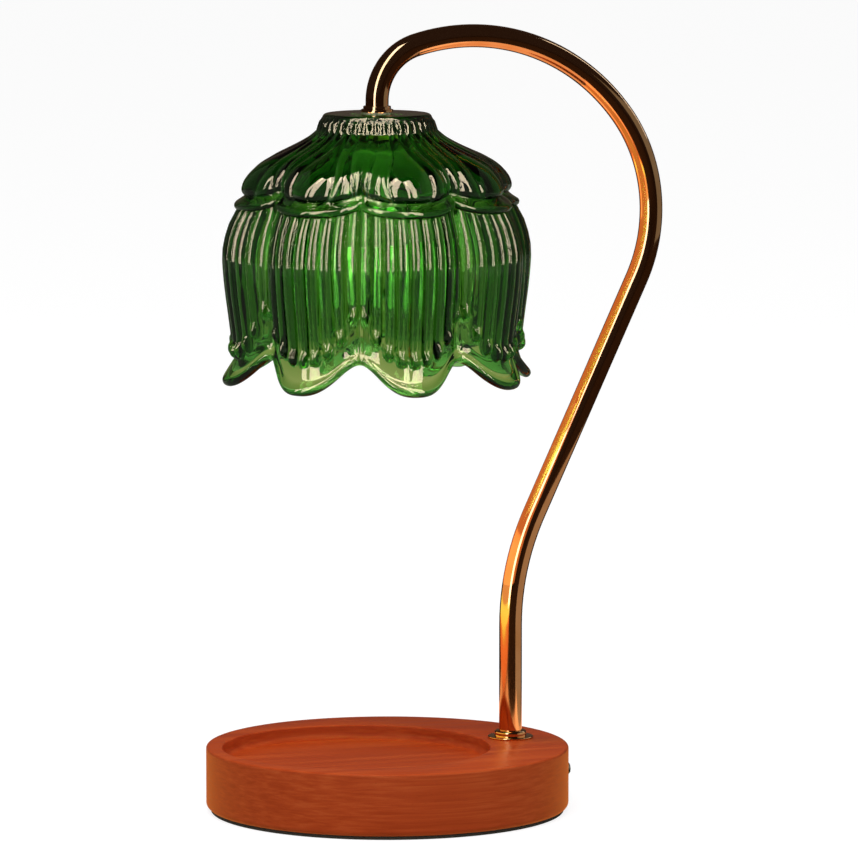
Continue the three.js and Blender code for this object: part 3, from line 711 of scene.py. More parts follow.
def carve(piece: Piece, tool: Piece) -> None:
    """Cut one piece out of another and throw it away.

    Args:
        piece: Piece that is cut.
        tool: Piece that is taken out of it.
    """
    modify(piece, "BOOLEAN", operation="DIFFERENCE", object=tool, solver="EXACT")
    bpy.data.objects.remove(tool, do_unlink=True)


def draw_path(name: str, points: Sequence[Point]) -> Piece:
    """Draw an open line by extruding one vertex from point to point.

    Args:
        name: Name of the piece.
        points: Points of the line.

    Returns:
        The new piece, a chain of edges.
    """
    deselect()
    bpy.ops.mesh.primitive_plane_add(size=MM, location=tuple(points[0]))
    piece = bpy.context.object
    piece.name = name
    settle(piece)

    def work(mesh: Mesh) -> None:
        """Shrink the plane to one vertex, and lead it along the line.

        Args:
            mesh: The piece's edit mesh, not used.
        """
        bpy.ops.mesh.select_all(action="SELECT")
        bpy.ops.mesh.merge(type="CENTER")
        for here, there in zip(points, points[1:]):
            step = Vector(there) - Vector(here)
            bpy.ops.mesh.extrude_region_move(TRANSFORM_OT_translate={"value": tuple(step)})

    edit(piece, work)
    return piece


def turned(name: str, profile: Sequence[Pair], sides: int, at: Point = (0, 0)) -> Piece:
    """Make a turned piece about an upright axis.

    Args:
        name: Name of the piece.
        profile: Radius and height of each point. It starts and ends at the same point.
        sides: Number of sides.
        at: The axis in plan.

    Returns:
        The new piece.
    """
    piece = draw_path(name, [(at[0] + radius, at[1], height) for radius, height in profile])

    def work(mesh: Mesh) -> None:
        """Spin the profile through a full turn, and close the mesh.

        Args:
            mesh: The piece's edit mesh, not used.
        """
        bpy.ops.mesh.select_all(action="SELECT")
        centre = (at[0], at[1], 0)
        bpy.ops.mesh.spin(steps=sides, angle=FULL_TURN, center=centre, axis=Axis.Z.value)
        close_mesh()

    edit(piece, work)
    return piece


def arc(centre: Pair, radius: float, start: float, end: float, steps: int) -> list[Pair]:
    """Give the points of an arc in the plane of a profile.

    Args:
        centre: Radius and height of the arc's centre.
        radius: Radius of the arc.
        start: First angle in degrees.
        end: Last angle in degrees.
        steps: Number of steps.

    Returns:
        The points, with both ends.
    """
    angles = [math.radians(start + (end - start) * i / steps) for i in range(steps + 1)]
    return [(centre[0] + radius * math.cos(a), centre[1] + radius * math.sin(a)) for a in angles]


def dress(
    piece: Piece, finish: Finish, nodes: Sequence[str], body: Body = Body.LAMP
) -> None:
    """Give a new piece its finish and its place in the frame.

    Args:
        piece: The finished mesh.
        finish: What it is made of.
        nodes: CAD nodes that it stands for.
        body: Body that it rides on.
    """
    piece.data.materials.clear()
    piece.data.materials.append(finish.material())
    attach(piece, body.value)
    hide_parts(*nodes)
    log.info("%s: %d faces, %s", piece.name, len(piece.data.polygons), finish.name)


def held(value: float) -> float:
    """Return a value held between 0 and 1."""
    return min(max(value, 0.0), 1.0)


def eased(value: float) -> float:
    """Return a value from 0 to 1 with a soft start and a soft end."""
    return value * value * (3 - 2 * value)


def repaint(nodes: Iterable[str], finish: Finish) -> None:
    """Give CAD nodes that stay in view a better material.

    Args:
        nodes: Names of the nodes.
        finish: What they are made of.
    """
    for name in nodes:
        for holder in frame["nodes"][name].material_slots:
            holder.material = finish.material()
        log.info("%s repainted as %s", name, finish.name)


@dataclass
class WoodenBase:
    """Turned wooden base with its sunk round seat, and the foam pad under it."""

    radius: float = 79 * MM
    bottom: float = 1.5 * MM
    top: float = 28.5 * MM
    top_round: float = 1.2 * MM
    foot_round: float = 2.4 * MM
    seat_radius: float = 58.25 * MM
    seat_x: float = -14.35 * MM
    seat_floor: float = 22.2 * MM
    seat_cove: float = 3.2 * MM
    seat_edge: float = 0.7 * MM
    arm_x: float = 57.3 * MM
    arm_hole: float = 5.3 * MM
    rebate_radius: float = 72.3 * MM
    rebate_top: float = 3.8 * MM
    cavity_radius: float = 33 * MM
    cavity_x: float = 27 * MM
    cavity_top: float = 14.2 * MM
    pocket_radius: float = 11.5 * MM
    pocket_top: float = 22 * MM
    gland_z: float = 13.3 * MM
    gland_hole: float = 3.2 * MM
    gland_seat: float = 4.05 * MM
    gland_seat_depth: float = 0.8 * MM
    pad_inset: float = 2 * MM
    pad_round: float = 0.4 * MM
    over: float = 3 * MM
    sides: int = 256
    cavity_sides: int = 96
    hole_sides: int = 64
    gland_sides: int = 48

    def build(self) -> None:
        """Make the base and its pad."""
        self.build_body()
        self.build_pad()

    def build_body(self) -> None:
        """Turn the blank, round its edges and cut the seat and what is hidden underneath."""
        body = add_cylinder("wooden_base", self.radius, self.bottom, self.top, self.sides)
        bevel_rim(body, self.top, self.top_round, steps=5)
        bevel_rim(body, self.bottom, self.foot_round, steps=6)
        above = self.top + self.over
        seat_at = (self.seat_x, 0)
        seat = add_cylinder(
            "seat_cutter", self.seat_radius, self.seat_floor, above, self.sides, seat_at
        )
        bevel_rim(seat, self.seat_floor, self.seat_cove, steps=10)
        carve(body, seat)
        arm_at, cavity_at = (self.arm_x, 0), (self.cavity_x, 0)
        upright = (
            ("rebate_cutter", self.rebate_radius, self.rebate_top, self.sides, (0, 0)),
            ("cavity_cutter", self.cavity_radius, self.cavity_top, self.cavity_sides, cavity_at),
            ("pocket_cutter", self.pocket_radius, self.pocket_top, self.hole_sides, arm_at),
            ("arm_cutter", self.arm_hole, above, self.hole_sides, arm_at),
        )
        for name, radius, top, sides, at in upright:
            carve(body, add_cylinder(name, radius, self.bottom - self.over, top, sides, at))
        gland_start = self.radius - self.gland_seat_depth
        carve(body, self.side_cutter("gland_cutter", self.gland_hole, self.arm_x))
        carve(body, self.side_cutter("gland_seat_cutter", self.gland_seat, gland_start))

        def on_seat(point: Vector) -> bool:
            """Tell whether a point lies at the seat's edge."""
            return math.hypot(point.x - self.seat_x, point.y) < self.seat_radius + MM

        bevel_rim(body, self.top, self.seat_edge, steps=4, near=on_seat)
        smooth(body, degrees=30)
        dress(body, STAINED_WOOD, ["base_body"])

    def side_cutter(self, name: str, radius: float, start: float) -> Piece:
        """Make a cutter that lies along +X at the gland's height.

        Args:
            name: Name of the cutter.
            radius: Its radius.
            start: Where it starts along X.

        Returns:
            The cutter.
        """
        end = self.radius + self.over
        deselect()
        bpy.ops.mesh.primitive_cylinder_add(
            vertices=self.gland_sides,
            radius=radius,
            depth=end - start,
            location=((start + end) / 2, 0, self.gland_z),
            rotation=(0, math.radians(90), 0),
        )
        tool = bpy.context.object
        tool.name = name
        settle(tool)
        return tool

    def build_pad(self) -> None:
        """Cut the foam pad with a soft edge."""
        pad = add_cylinder("foam_pad", self.radius - self.pad_inset, 0, self.bottom, self.sides)
        bevel_rim(pad, 0, self.pad_round, steps=3)
        smooth(pad)
        dress(pad, FOAM, ["base_pad"])


@dataclass
class BrassArm:
    """Bent brass tube with the washer and the ring at its foot."""

    x: float = 57.3 * MM
    radius: float = 5 * MM
    wall: float = 1 * MM
    foot: float = 15 * MM
    rise: float = 78.3 * MM
    slope: float = 112.3 * MM
    drop: float = 19.7 * MM
    bends: tuple[tuple[float, float], ...] = (
        (115 * MM, -25.2),
        (70.7 * MM, 61.7),
        (88.3 * MM, 69.7),
        (24.7 * MM, 73.8),
    )
    sides: int = 64
    bend_step: float = 2.0
    base_top: float = 28.5 * MM
    washer_radius: float = 10 * MM
    washer_thickness: float = 1 * MM
    washer_edge: float = 0.4 * MM
    ring_radius: float = 7 * MM
    ring_height: float = 2.5 * MM
    ring_round: float = 1.1 * MM
    trim_sides: int = 96
    hole: float = 5.05 * MM

    def build(self) -> None:
        """Make the tube and what it stands on."""
        self.build_tube()
        self.build_washer()
        self.build_ring()

    def build_tube(self) -> None:
        """Extrude a circle along the straights and spin it round the bends."""
        start = (self.x, 0, self.foot)
        deselect()
        bpy.ops.mesh.primitive_circle_add(vertices=self.sides, radius=self.radius, location=start)
        tube = bpy.context.object
        tube.name = "arm_brass_tube"
        settle(tube)

        def work(mesh: Mesh) -> None:
            """Lead the circle from the foot to the shade, and close the mesh.

            Args:
                mesh: The tube's edit mesh, not used.
            """
            bpy.ops.mesh.select_all(action="SELECT")
            heading = math.radians(90)
            place = self.straight(Vector(start), heading, self.rise - self.foot)
            place, heading = self.bend(place, heading, *self.bends[0])
            place = self.straight(place, heading, self.slope)
            for radius, degrees in self.bends[1:]:
                place, heading = self.bend(place, heading, radius, degrees)
            place = self.straight(place, heading, self.drop)
            close_mesh()
            log.info("arm ends at %s mm", [round(c / MM, 2) for c in place])

        edit(tube, work)
        modify(tube, "SOLIDIFY", thickness=self.wall, offset=-1)
        smooth(tube)
        dress(tube, POLISHED_BRASS, ["arm_tube"])

    def straight(self, place: Vector, heading: float, length: float) -> Vector:
        """Extrude the selected circle straight on.

        Args:
            place: Its centre.
            heading: Where it faces, in radians up from +X.
            length: How far it goes.

        Returns:
            Its new centre.
        """
        step = Vector((math.cos(heading), 0, math.sin(heading))) * length
        bpy.ops.mesh.extrude_region_move(TRANSFORM_OT_translate={"value": tuple(step)})
        return place + step

    def bend(
        self, place: Vector, heading: float, radius: float, degrees: float
    ) -> tuple[Vector, float]:
        """Spin the selected circle round a bend.

        Args:
            place: Its centre.
            heading: Where it faces, in radians up from +X.
            radius: Radius of the bend's centre line.
            degrees: Angle of the bend, above zero towards -X.

        Returns:
            Its new centre and heading.
        """
        side = math.copysign(radius, degrees)
        centre = place + Vector((-math.sin(heading), 0, math.cos(heading))) * side
        turn = math.radians(degrees)
        steps = max(int(abs(degrees) / self.bend_step), 1)
        bpy.ops.mesh.spin(steps=steps, angle=turn, center=tuple(centre), axis=Axis.Y.value)
        heading += turn
        return centre - Vector((-math.sin(heading), 0, math.cos(heading))) * side, heading

    def build_washer(self) -> None:
        """Turn the flat washer with a rolled edge."""
        bottom = self.base_top
        top = bottom + self.washer_thickness
        edge = self.washer_edge
        outer = self.washer_radius - edge
        profile = [
            (self.hole, bottom),
            (outer, bottom),
            *arc((outer, bottom + edge), edge, start=-90, end=0, steps=3)[1:],
            *arc((outer, top - edge), edge, start=0, end=90, steps=4),
            (self.hole, top),
            (self.hole, bottom),
        ]
        washer = turned("arm_foot_washer", profile, self.trim_sides, (self.x, 0))
        smooth(washer, degrees=30)
        dress(washer, POLISHED_BRASS, ["foot_washer"])

    def build_ring(self) -> None:
        """Turn the ring that the tube stands in, with a rounded shoulder."""
        bottom = self.base_top + self.washer_thickness
        top = bottom + self.ring_height
        shoulder = (self.ring_radius - self.ring_round, top - self.ring_round)
        profile = [
            (self.hole, bottom),
            (self.ring_radius, bottom),
            *arc(shoulder, self.ring_round, start=0, end=90, steps=8),
            (self.hole, top),
            (self.hole, bottom),
        ]
        ring = turned("arm_foot_ring", profile, self.trim_sides, (self.x, 0))
        smooth(ring, degrees=30)
        dress(ring, POLISHED_BRASS, ["foot_ring"])


@dataclass
class GlassShade:
    """Pressed glass flower: fluted collar, calyx petals with a rolled lip, and ribbed petals.

    Each outline is a list of a depth below the top, the radius at a petal's middle and how much
    further in the crease beside the petal lies, in millimetres. A place across a petal is zero at
    its middle and one at the crease beside it.

    Attributes:
        x: The flower's axis.
        top: Height of its flat top.
        top_radius: Radius of the flat top.
        top_thickness: Thickness of the glass there.
        hole_radius: Radius of the hole for the arm.
        top_edge: Radius of the rounding round the flat top.
        flat_rows: Rows of faces on the flat top.
        petals: Number of petals.
        first_petal: Angle of the first petal in degrees.
        collar_flute: Height of the collar's flutes.
        collar_rows: Rows of faces on the collar.
        collar_start: Depth of its first row, in roundings of the edge above.
        collar_rise: How fast the flutes rise under that edge.
        flute_spacing: Distance of the flutes across a petal.
        flute_height: Height of the flutes where the calyx starts.
        flute_sink: How deep the flutes stand in the outline, as a share of their height.
        calyx_rows: Rows of faces on the calyx.
        lip_depth: Depth of the lip at a petal's middle.
        lip_height: Height of the slope above the lip.
        lip_reach: How far the lip stands out.
        lip_taper: Share of that reach which is lost at the crease.
        lip_taper_power: How late it is lost.
        lip_edge: Radius of the lip's round edge.
        lip_edge_from: Angle in degrees at which the round edge starts.
        lip_edge_to: Angle in degrees at which it ends, under the lip.
        lip_rows: Rows of faces on the slope.
        lip_hollow: How hollow the slope is.
        lip_scallop: How much higher the lip lies at the crease.
        lip_power: How late it rises.
        pillow_height: Height of the pillow in the middle of a calyx petal.
        side_height: Height of the lobe beside it.
        ridge_height: Height of the ridge at the crease.
        pillow_sink: How deep all three stand in the outline at the lip.
        pillow_round: How round they are.
        pillow_growth: How soon they have their full height.
        pillow_close: Share of their height that is lost at the lip.
        pillow_close_from: Place down the calyx from which it is lost.
        top_row: Place down the calyx above which the collar's flutes go on.
        ribs: Number of ribs on a petal.
        rib_height: Height of a rib.
        rib_end: Length of the round end of a rib.
        rib_round: How round a rib is.
        rib_valley: Share of a rib's place that counts a valley to the rib before it.
        rib_swell: How much higher a rib is near its end.
        swell_length: Length on which it rises.
        swell_before: Length between that and its end.
        end_narrow: How much narrower a rib is there.
        valley_step: How much deeper the valleys lie below the ribs' ends.
        valley_ramp: Length on which they fall.
        valley_lead: How far before the line of the ribs' ends they do, in such lengths.
        hem_depth: Depth of the hem at a petal's tip.
        hem_scallop: How much higher the hem lies at the notch.
        hem_power: How wide the tip is.
        band: Height of the smooth band between the ribs and the hem.
        band_rise: How much higher the ribs end at the crease.
        band_power: How late they do.
        lip_gap: Distance of the bell's first row under the lip.
        lip_shadow: Distance of its second row.
        end_above: Height of the fine rows above the ribs' ends.
        end_below: Height of the fine rows below them.
        bell_rows: Rows of faces between these heights.
        rim_half: Half the thickness of the rim.
        rim_rows: Rows of faces round the rim.
        rim_bead: Height of the bead above the rim.
        bead_height: How far the bead stands out.
        samples_per_rib: Columns of faces on a rib.
        crease_start: Place across a petal where its arc turns into the crease.
        inside_lobing: How much of the petals shows inside.
        inside_rows: Rows of faces on the inside wall.
        tip_height: Height of the thicker glass in a tip.
        tip_swell: How much thicker it is.
        tip_rows: Rows of faces on it.
        halvings: Halvings of the search on an outline.
        calyx_outline: Outline of the calyx.
        bell_outline: Outline of the bell.
        inside_outline: Outline of the inside wall.
        pillow_edge: Place across a petal where the pillow ends, at even steps down the calyx.
        side_edge: Place across a petal where the side lobe ends.
    """

    x: float = -4.503 * MM
    top: float = 304.285 * MM
    top_radius: float = 21.8 * MM
    top_thickness: float = 5 * MM
    hole_radius: float = 5.8 * MM
    top_edge: float = 1.9 * MM
    flat_rows: int = 5
    petals: int = 8
    first_petal: float = -94.7
    collar_flute: float = 1.5 * MM
    collar_rows: int = 8
    collar_start: float = 1.05
    collar_rise: float = 4
    flute_spacing: float = 0.4
    flute_height: float = 0.6 * MM
    flute_sink: float = 0.4
    calyx_rows: int = 34
    lip_depth: float = 40.7 * MM
    lip_height: float = 6.2 * MM
    lip_reach: float = 4.1 * MM
    lip_taper: float = 0.45
    lip_taper_power: float = 4
    lip_edge: float = 1.8 * MM
    lip_edge_from: float = 50
    lip_edge_to: float = -115
    lip_rows: int = 6
    lip_hollow: float = 1.25
    lip_scallop: float = 3.8 * MM
    lip_power: float = 2.8
    pillow_height: float = 2.4 * MM
    side_height: float = 1.6 * MM
    ridge_height: float = 1.1 * MM
    pillow_sink: float = 1.2 * MM
    pillow_round: float = 0.62
    pillow_growth: float = 2.2
    pillow_close: float = 0.55
    pillow_close_from: float = 0.86
    top_row: float = 0.02
    ribs: int = 9
    rib_height: float = 2.2 * MM
    rib_end: float = 2.6 * MM
    rib_round: float = 0.5
    rib_valley: float = 0.9999
    rib_swell: float = 1.1 * MM
    swell_length: float = 3.4 * MM
    swell_before: float = 4.2 * MM
    end_narrow: float = 0.32
    valley_step: float = 0.5 * MM
    valley_ramp: float = 3 * MM
    valley_lead: float = 1.3
    hem_depth: float = 115 * MM
    hem_scallop: float = 12.2 * MM
    hem_power: float = 1.3
    band: float = 10.5 * MM
    band_rise: float = 24.4 * MM
    band_power: float = 2.4
    lip_gap: float = 0.15 * MM
    lip_shadow: float = 0.5 * MM
    end_above: float = 9 * MM
    end_below: float = 2.4 * MM
    bell_rows: tuple[int, ...] = (1, 10, 26, 5, 7)
    rim_half: float = 2.1 * MM
    rim_rows: int = 10
    rim_bead: float = 3.4 * MM
    bead_height: float = 1.5 * MM
    samples_per_rib: int = 8
    crease_start: float = 0.9
    inside_lobing: float = 0.95
    inside_rows: int = 16
    tip_height: float = 18 * MM
    tip_swell: float = 0.9 * MM
    tip_rows: int = 11
    halvings: int = 24
    calyx_outline: tuple[Triple, ...] = (
        (7.2, 26.0, 0.2),
        (10.2, 29.3, 0.4),
        (13.5, 34.5, 0.8),
        (16.4, 40.0, 1.6),
        (19.6, 46.5, 3.0),
        (23.5, 52.6, 4.6),
        (28.6, 57.2, 6.0),
        (33.0, 58.9, 6.8),
        (36.0, 58.7, 7.0),
    )
    bell_outline: tuple[Triple, ...] = (
        (34.0, 58.6, 6.6),
        (41.0, 61.0, 7.6),
        (48.0, 64.6, 9.0),
        (59.0, 67.1, 9.6),
        (73.0, 66.3, 8.8),
        (88.0, 64.3, 7.4),
        (97.0, 63.3, 6.6),
        (104.0, 64.2, 6.8),
        (110.0, 66.6, 8.5),
        (116.0, 70.0, 10.5),
    )
    inside_outline: tuple[Triple, ...] = (
        (5.0, 13.4, 0.0),
        (9.3, 20.2, 0.0),
        (19.1, 33.6, 1.0),
        (29.0, 49.3, 4.0),
        (43.0, 57.4, 7.0),
        (60.3, 62.5, 8.0),
        (85.8, 60.2, 7.0),
        (97.0, 59.3, 6.0),
        (106.0, 59.4, 7.0),
        (117.0, 63.4, 9.0),
    )
    pillow_edge: tuple[float, ...] = (0.2, 0.2, 0.22, 0.27, 0.36, 0.43, 0.44, 0.4, 0.34)
    side_edge: tuple[float, ...] = (0.6, 0.6, 0.62, 0.66, 0.71, 0.76, 0.8, 0.82, 0.82)

    def build(self) -> None:
        """Bend a grid round into the flower, close it and give it its glass."""
        steps = self.ribs * self.samples_per_rib
        petal = [self.section(2 * step / steps - 1, step / steps) for step in range(steps)]
        columns = self.petals * steps
        rows = len(petal[0])
        deselect()
        bpy.ops.mesh.primitive_grid_add(x_subdivisions=columns, y_subdivisions=rows, size=1)
        shade = bpy.context.object
        shade.name = "flower_shade"
        for i in range(columns + 1):
            around = (i % columns) / columns - 0.5 / self.petals
            angle = math.radians(self.first_petal) + FULL_TURN * around
            outward = Vector((math.cos(angle), math.sin(angle), 0))
            sideways = Vector((-outward.y, outward.x, 0))
            for j in range(rows + 1):
                reach, side, depth = petal[i % steps][j % rows]
                level = Vector((self.x, 0, self.top - depth))
                vertex = shade.data.vertices[j * (columns + 1) + i]
                vertex.co = level + outward * reach + sideways * side
        edit(shade, lambda _: close_mesh())
        smooth(shade, degrees=70)
        dress(shade, GREEN_GLASS, ["glass_shade"])

    def lobe(self, across: float) -> float:
        """Return one at the middle of a petal, and zero at the notch beside it."""
        return (1 + math.cos(math.pi * abs(across) ** self.hem_power)) / 2

    def between(self, values: Sequence[float], place: float) -> float:
        """Give a value on a smooth curve through values at even steps.

        Args:
            values: The values.
            place: Place along them, 0 to 1.

        Returns:
            The value.
        """
        last = len(values) - 1
        at = held(place) * last
        low = min(int(at), last - 1)
        t = at - low
        p0, p1, p2, p3 = (values[min(max(low + k, 0), last)] for k in (-1, 0, 1, 2))
        v0, v1 = (p2 - p0) / 2, (p3 - p1) / 2
        cubic = 2 * p1 - 2 * p2 + v0 + v1
        square = -3 * p1 + 3 * p2 - 2 * v0 - v1
        return cubic * t**3 + square * t**2 + v0 * t + p1

    def trace(self, outline: Sequence[Triple], place: float) -> Triple:
        """Return depth, radius and crease of an outline at a place from 0 to 1, in metres."""
        depth, radius, crease = (self.between([row[k] for row in outline], place) for k in range(3))
        return depth * MM, radius * MM, crease * MM

    def place_at(self, outline: Sequence[Triple], depth: float) -> float:
        """Find the place on an outline at a depth.

        Args:
            outline: Outline whose depths rise.
            depth: Depth in metres.

        Returns:
            Place from 0 to 1.
        """
        low, high = 0.0, 1.0
        for _ in range(self.halvings):
            half = (low + high) / 2
            if self.trace(outline, half)[0] < depth:
                low = half
            else:
                high = half
        return (low + high) / 2

    def bell_at(self, depth: float) -> Pair:
        """Return the bell's radius and crease at a depth."""
        return self.trace(self.bell_outline, self.place_at(self.bell_outline, depth))[1:]

    def lobed(
        self, radius: float, crease: float, across: float, raised: float, depth: float
    ) -> Triple:
        """Give a point on a petal's arc, raised along its normal.

        Args:
            radius: Radius at the petal's middle.
            crease: How much less the radius is at the crease beside it.
            across: Place across the petal, -1 to 1.
            raised: Height above the arc.
            depth: Depth below the top.

        Returns:
            Radius, sideways offset and depth of the point.
        """
        half = math.pi / self.petals
        far = (radius - crease) * math.cos(half)
        wide = (radius - crease) * math.sin(half)
        rise = radius - far
        arc_radius = (wide * wide + rise * rise) / (2 * rise)
        centre = radius - arc_radius
        over = max(abs(across) - self.crease_start, 0)
        turn = half * (abs(across) - over * over / (2 - 2 * self.crease_start))
        aside = centre * math.sin(turn)
        reach = centre * math.cos(turn) + math.sqrt(arc_radius**2 - aside**2)
        lean = math.asin(aside / arc_radius) * (1 - over / (1 - self.crease_start))
        side = math.copysign(raised * math.sin(lean), across)
        return reach + raised * math.cos(lean), side, depth

    def inner(self, radius: float, crease: float, across: float, depth: float) -> Triple:
        """Give a point on the smooth inside of a petal.

        Args:
            radius: Radius at the petal's middle.
            crease: How much less the radius is at the crease beside it.
            across: Place across the petal, -1 to 1.
            depth: Depth below the top.

        Returns:
            Radius, sideways offset and depth of the point.
        """
        reach, _, _ = self.lobed(radius, crease * self.inside_lobing, across, 0, depth)
        return reach, 0, depth

    def crest(self, place: float, power: float = 0.8) -> float:
        """Return the round height of a ridge at a place from -1 to 1 across it."""
        return math.cos(math.pi / 2 * min(abs(place), 1)) ** power

    def relief(self, across: float, share: float) -> float:
        """Give the height of the flutes, which widen downwards to a pillow and two side lobes.

        Args:
            across: Place across the petal, -1 to 1.
            share: Place down the calyx, 0 to 1.

        Returns:
            Height in metres.
        """
        pillow = self.between(self.pillow_edge, share)
        side = self.between(self.side_edge, share)
        late = (share - self.pillow_close_from) / (1 - self.pillow_close_from)
        closing = 1 - self.pillow_close * max(0.0, late) ** 2
        place = abs(across)
        if place < pillow:
            full, aside = self.pillow_height, place / pillow
        elif place < side:
            full, aside = self.side_height, (2 * place - pillow - side) / (side - pillow)
        elif share > self.top_row:
            full, aside = self.ridge_height, (2 * place - side - 1) / (1 - side)
        else:
            # The collar's last flute stands two spacings from the petal's middle
            off = place - 2 * self.flute_spacing
            full, aside = self.ridge_height, off / (self.flute_spacing / 2)
        grown = min(1.0, share * self.pillow_growth)
        height = self.flute_height + (full - self.flute_height) * grown
        if place < side:
            return height * self.crest(aside, self.pillow_round) * closing
        return height * self.crest(aside)

    def section(self, across: float, petal_share: float) -> list[Triple]:
        """Give the closed outline of the glass on one line of the shade.

        Args:
            across: Place across the petal, -1 to 1.
            petal_share: Place across the petal, 0 to 1.

        Returns:
            Radius, sideways offset and depth of each point, from the hole over the outside to
            the inside.
        """
        lip = self.lip_depth - self.lip_scallop * abs(across) ** self.lip_power
        hem = self.hem_depth - self.hem_scallop * (1 - self.lobe(across))
        hole, rows = self.hole_radius, self.flat_rows
        points = [(hole, 0, depth) for depth in (self.top_thickness, self.top_thickness / 2, 0)]
        points += [(hole + (self.top_radius - hole) * i / rows, 0, 0) for i in range(1, rows + 1)]
        edge = arc((self.top_radius, -self.top_edge), self.top_edge, start=80, end=15, steps=6)
        points += [(radius, 0, -height) for radius, height in edge]
        points += self.calyx(across, lip)
        points += self.lip(across, lip)
        points += self.bell(across, petal_share, lip, hem)
        points += self.inside(across, hem)
        return points

    def calyx(self, across: float, lip: float) -> list[Triple]:
        """Give the outline from the collar to the slope above the lip.

        Args:
            across: Place across the petal, -1 to 1.
            lip: Depth of the lip there.

        Returns:
            Points as section gives them.
        """
        points = []
        begin, radius, _ = self.trace(self.calyx_outline, 0)
        from_depth = self.top_edge * self.collar_start
        from_radius = self.top_radius + self.top_edge
        beside = abs(across) % self.flute_spacing
        aside = min(beside, self.flute_spacing - beside) / (self.flute_spacing / 2)
        flute = self.crest(aside) - self.flute_sink
        for i in range(1, self.collar_rows):
            share = i / self.collar_rows
            height = self.collar_flute + (self.flute_height - self.collar_flute) * share
            raised = height * min(1, share * self.collar_rise) * flute
            depth = from_depth + (begin - from_depth) * share
            points.append((from_radius + (radius - from_radius) * share + raised, 0, depth))
        end = self.trace(self.calyx_outline, 1)[0]
        stop = lip - self.lip_height
        sunk = self.flute_sink * self.flute_height
        for i in range(self.calyx_rows + 1):
            share = i / self.calyx_rows
            depth, radius, crease = self.trace(self.calyx_outline, share)
            level = begin + (depth - begin) / (end - begin) * (stop - begin)
            raised = self.relief(across, share) - sunk - self.pillow_sink * share
            points.append(self.lobed(radius, crease, across, raised, level))
        return points

    def lip(self, across: float, lip: float) -> list[Triple]:
        """Give the outline of the lip: a slope outwards, a round edge and a step back under it.

        Args:
            across: Place across the petal, -1 to 1.
            lip: Depth of the lip there.

        Returns:
            Points as section gives them.
        """
        _, radius, crease = self.trace(self.calyx_outline, 1)
        reach = self.lip_reach * (1 - self.lip_taper * abs(across) ** self.lip_taper_power)
        centre = (reach - self.lip_edge, self.lip_edge - lip)
        edge = arc(centre, self.lip_edge, self.lip_edge_from, self.lip_edge_to, steps=10)
        sunk = self.flute_sink * self.flute_height
        foot = self.relief(across, 1) - sunk - self.pillow_sink
        top = lip - self.lip_height
        out, up = edge[0]
        points = []
        for i in range(1, self.lip_rows):
            share = i / self.lip_rows
            raised = foot + (out - foot) * share**self.lip_hollow
            points.append((raised, top - (top + up) * share))
        points += [(raised, -height) for raised, height in edge]
        return [self.lobed(radius, crease, across, raised, depth) for raised, depth in points]

    def rib_line(self, across: float) -> float:
        """Return the depth of the line on which the ribs end, at a place across the petal."""
        return self.hem_depth - self.band - self.band_rise * abs(across) ** self.band_power

    def rib_crest(self, petal_share: float, depth: float) -> float:
        """Give the height of the rib at a place, with a round fingertip at its end.

        Args:
            petal_share: Place across the petal, 0 to 1.
            depth: Depth below the top.

        Returns:
            Height above the valley beside the rib, in metres.
        """
        place = petal_share * self.ribs
        own = math.floor(place * self.rib_valley) + 0.5
        end = self.rib_line(2 * own / self.ribs - 1)
        beyond = max(0.0, (depth - end + self.rib_end) / self.rib_end)
        swollen = held((depth - end + self.swell_before + self.swell_length) / self.swell_length)
        aside = 2 * (place - own) * (1 + self.end_narrow * swollen)
        height = self.rib_height + self.rib_swell * eased(swollen)
        return height * self.crest(math.hypot(aside, beyond), self.rib_round)

    def bell(self, across: float, petal_share: float, lip: float, hem: float) -> list[Triple]:
        """Give the outline of the ribbed bell down to the round rim.

        Args:
            across: Place across the petal, -1 to 1.
            petal_share: Place across the petal, 0 to 1.
            lip: Depth of the lip there.
            hem: Depth of the hem there.

        Returns:
            Points as section gives them.
        """
        line = self.rib_line(across)
        rim = hem - self.rim_half
        stops = (
            lip + self.lip_gap,
            lip + self.lip_shadow,
            line - self.end_above,
            line + self.end_below,
            rim - self.rim_bead,
            rim,
        )
        depths = [stops[0]]
        for above, below, rows in zip(stops, stops[1:], self.bell_rows):
            depths += [above + (below - above) * i / rows for i in range(1, rows + 1)]
        points = []
        for depth in depths:
            bead = eased(held(1 - (rim - depth) / self.rim_bead))
            lowered = eased(held((depth - line) / self.valley_ramp + self.valley_lead))
            valley = -self.rib_height / 2 - self.valley_step * lowered
            raised = valley + self.rib_crest(petal_share, depth) + self.bead_height * bead
            points.append(self.lobed(*self.bell_at(depth), across, raised, depth))
        before, last = points[-2], points[-1]
        along = Vector((last[0] - before[0], last[2] - before[2])).normalized()
        outward = Vector((along.y, -along.x))
        centre = Vector((last[0], last[2])) - outward * self.rim_half
        for i in range(1, self.rim_rows + 1):
            turn = math.pi * i / self.rim_rows
            point = centre + self.rim_half * (outward * math.cos(turn) + along * math.sin(turn))
            points.append((point.x, last[1], point.y))
        return points

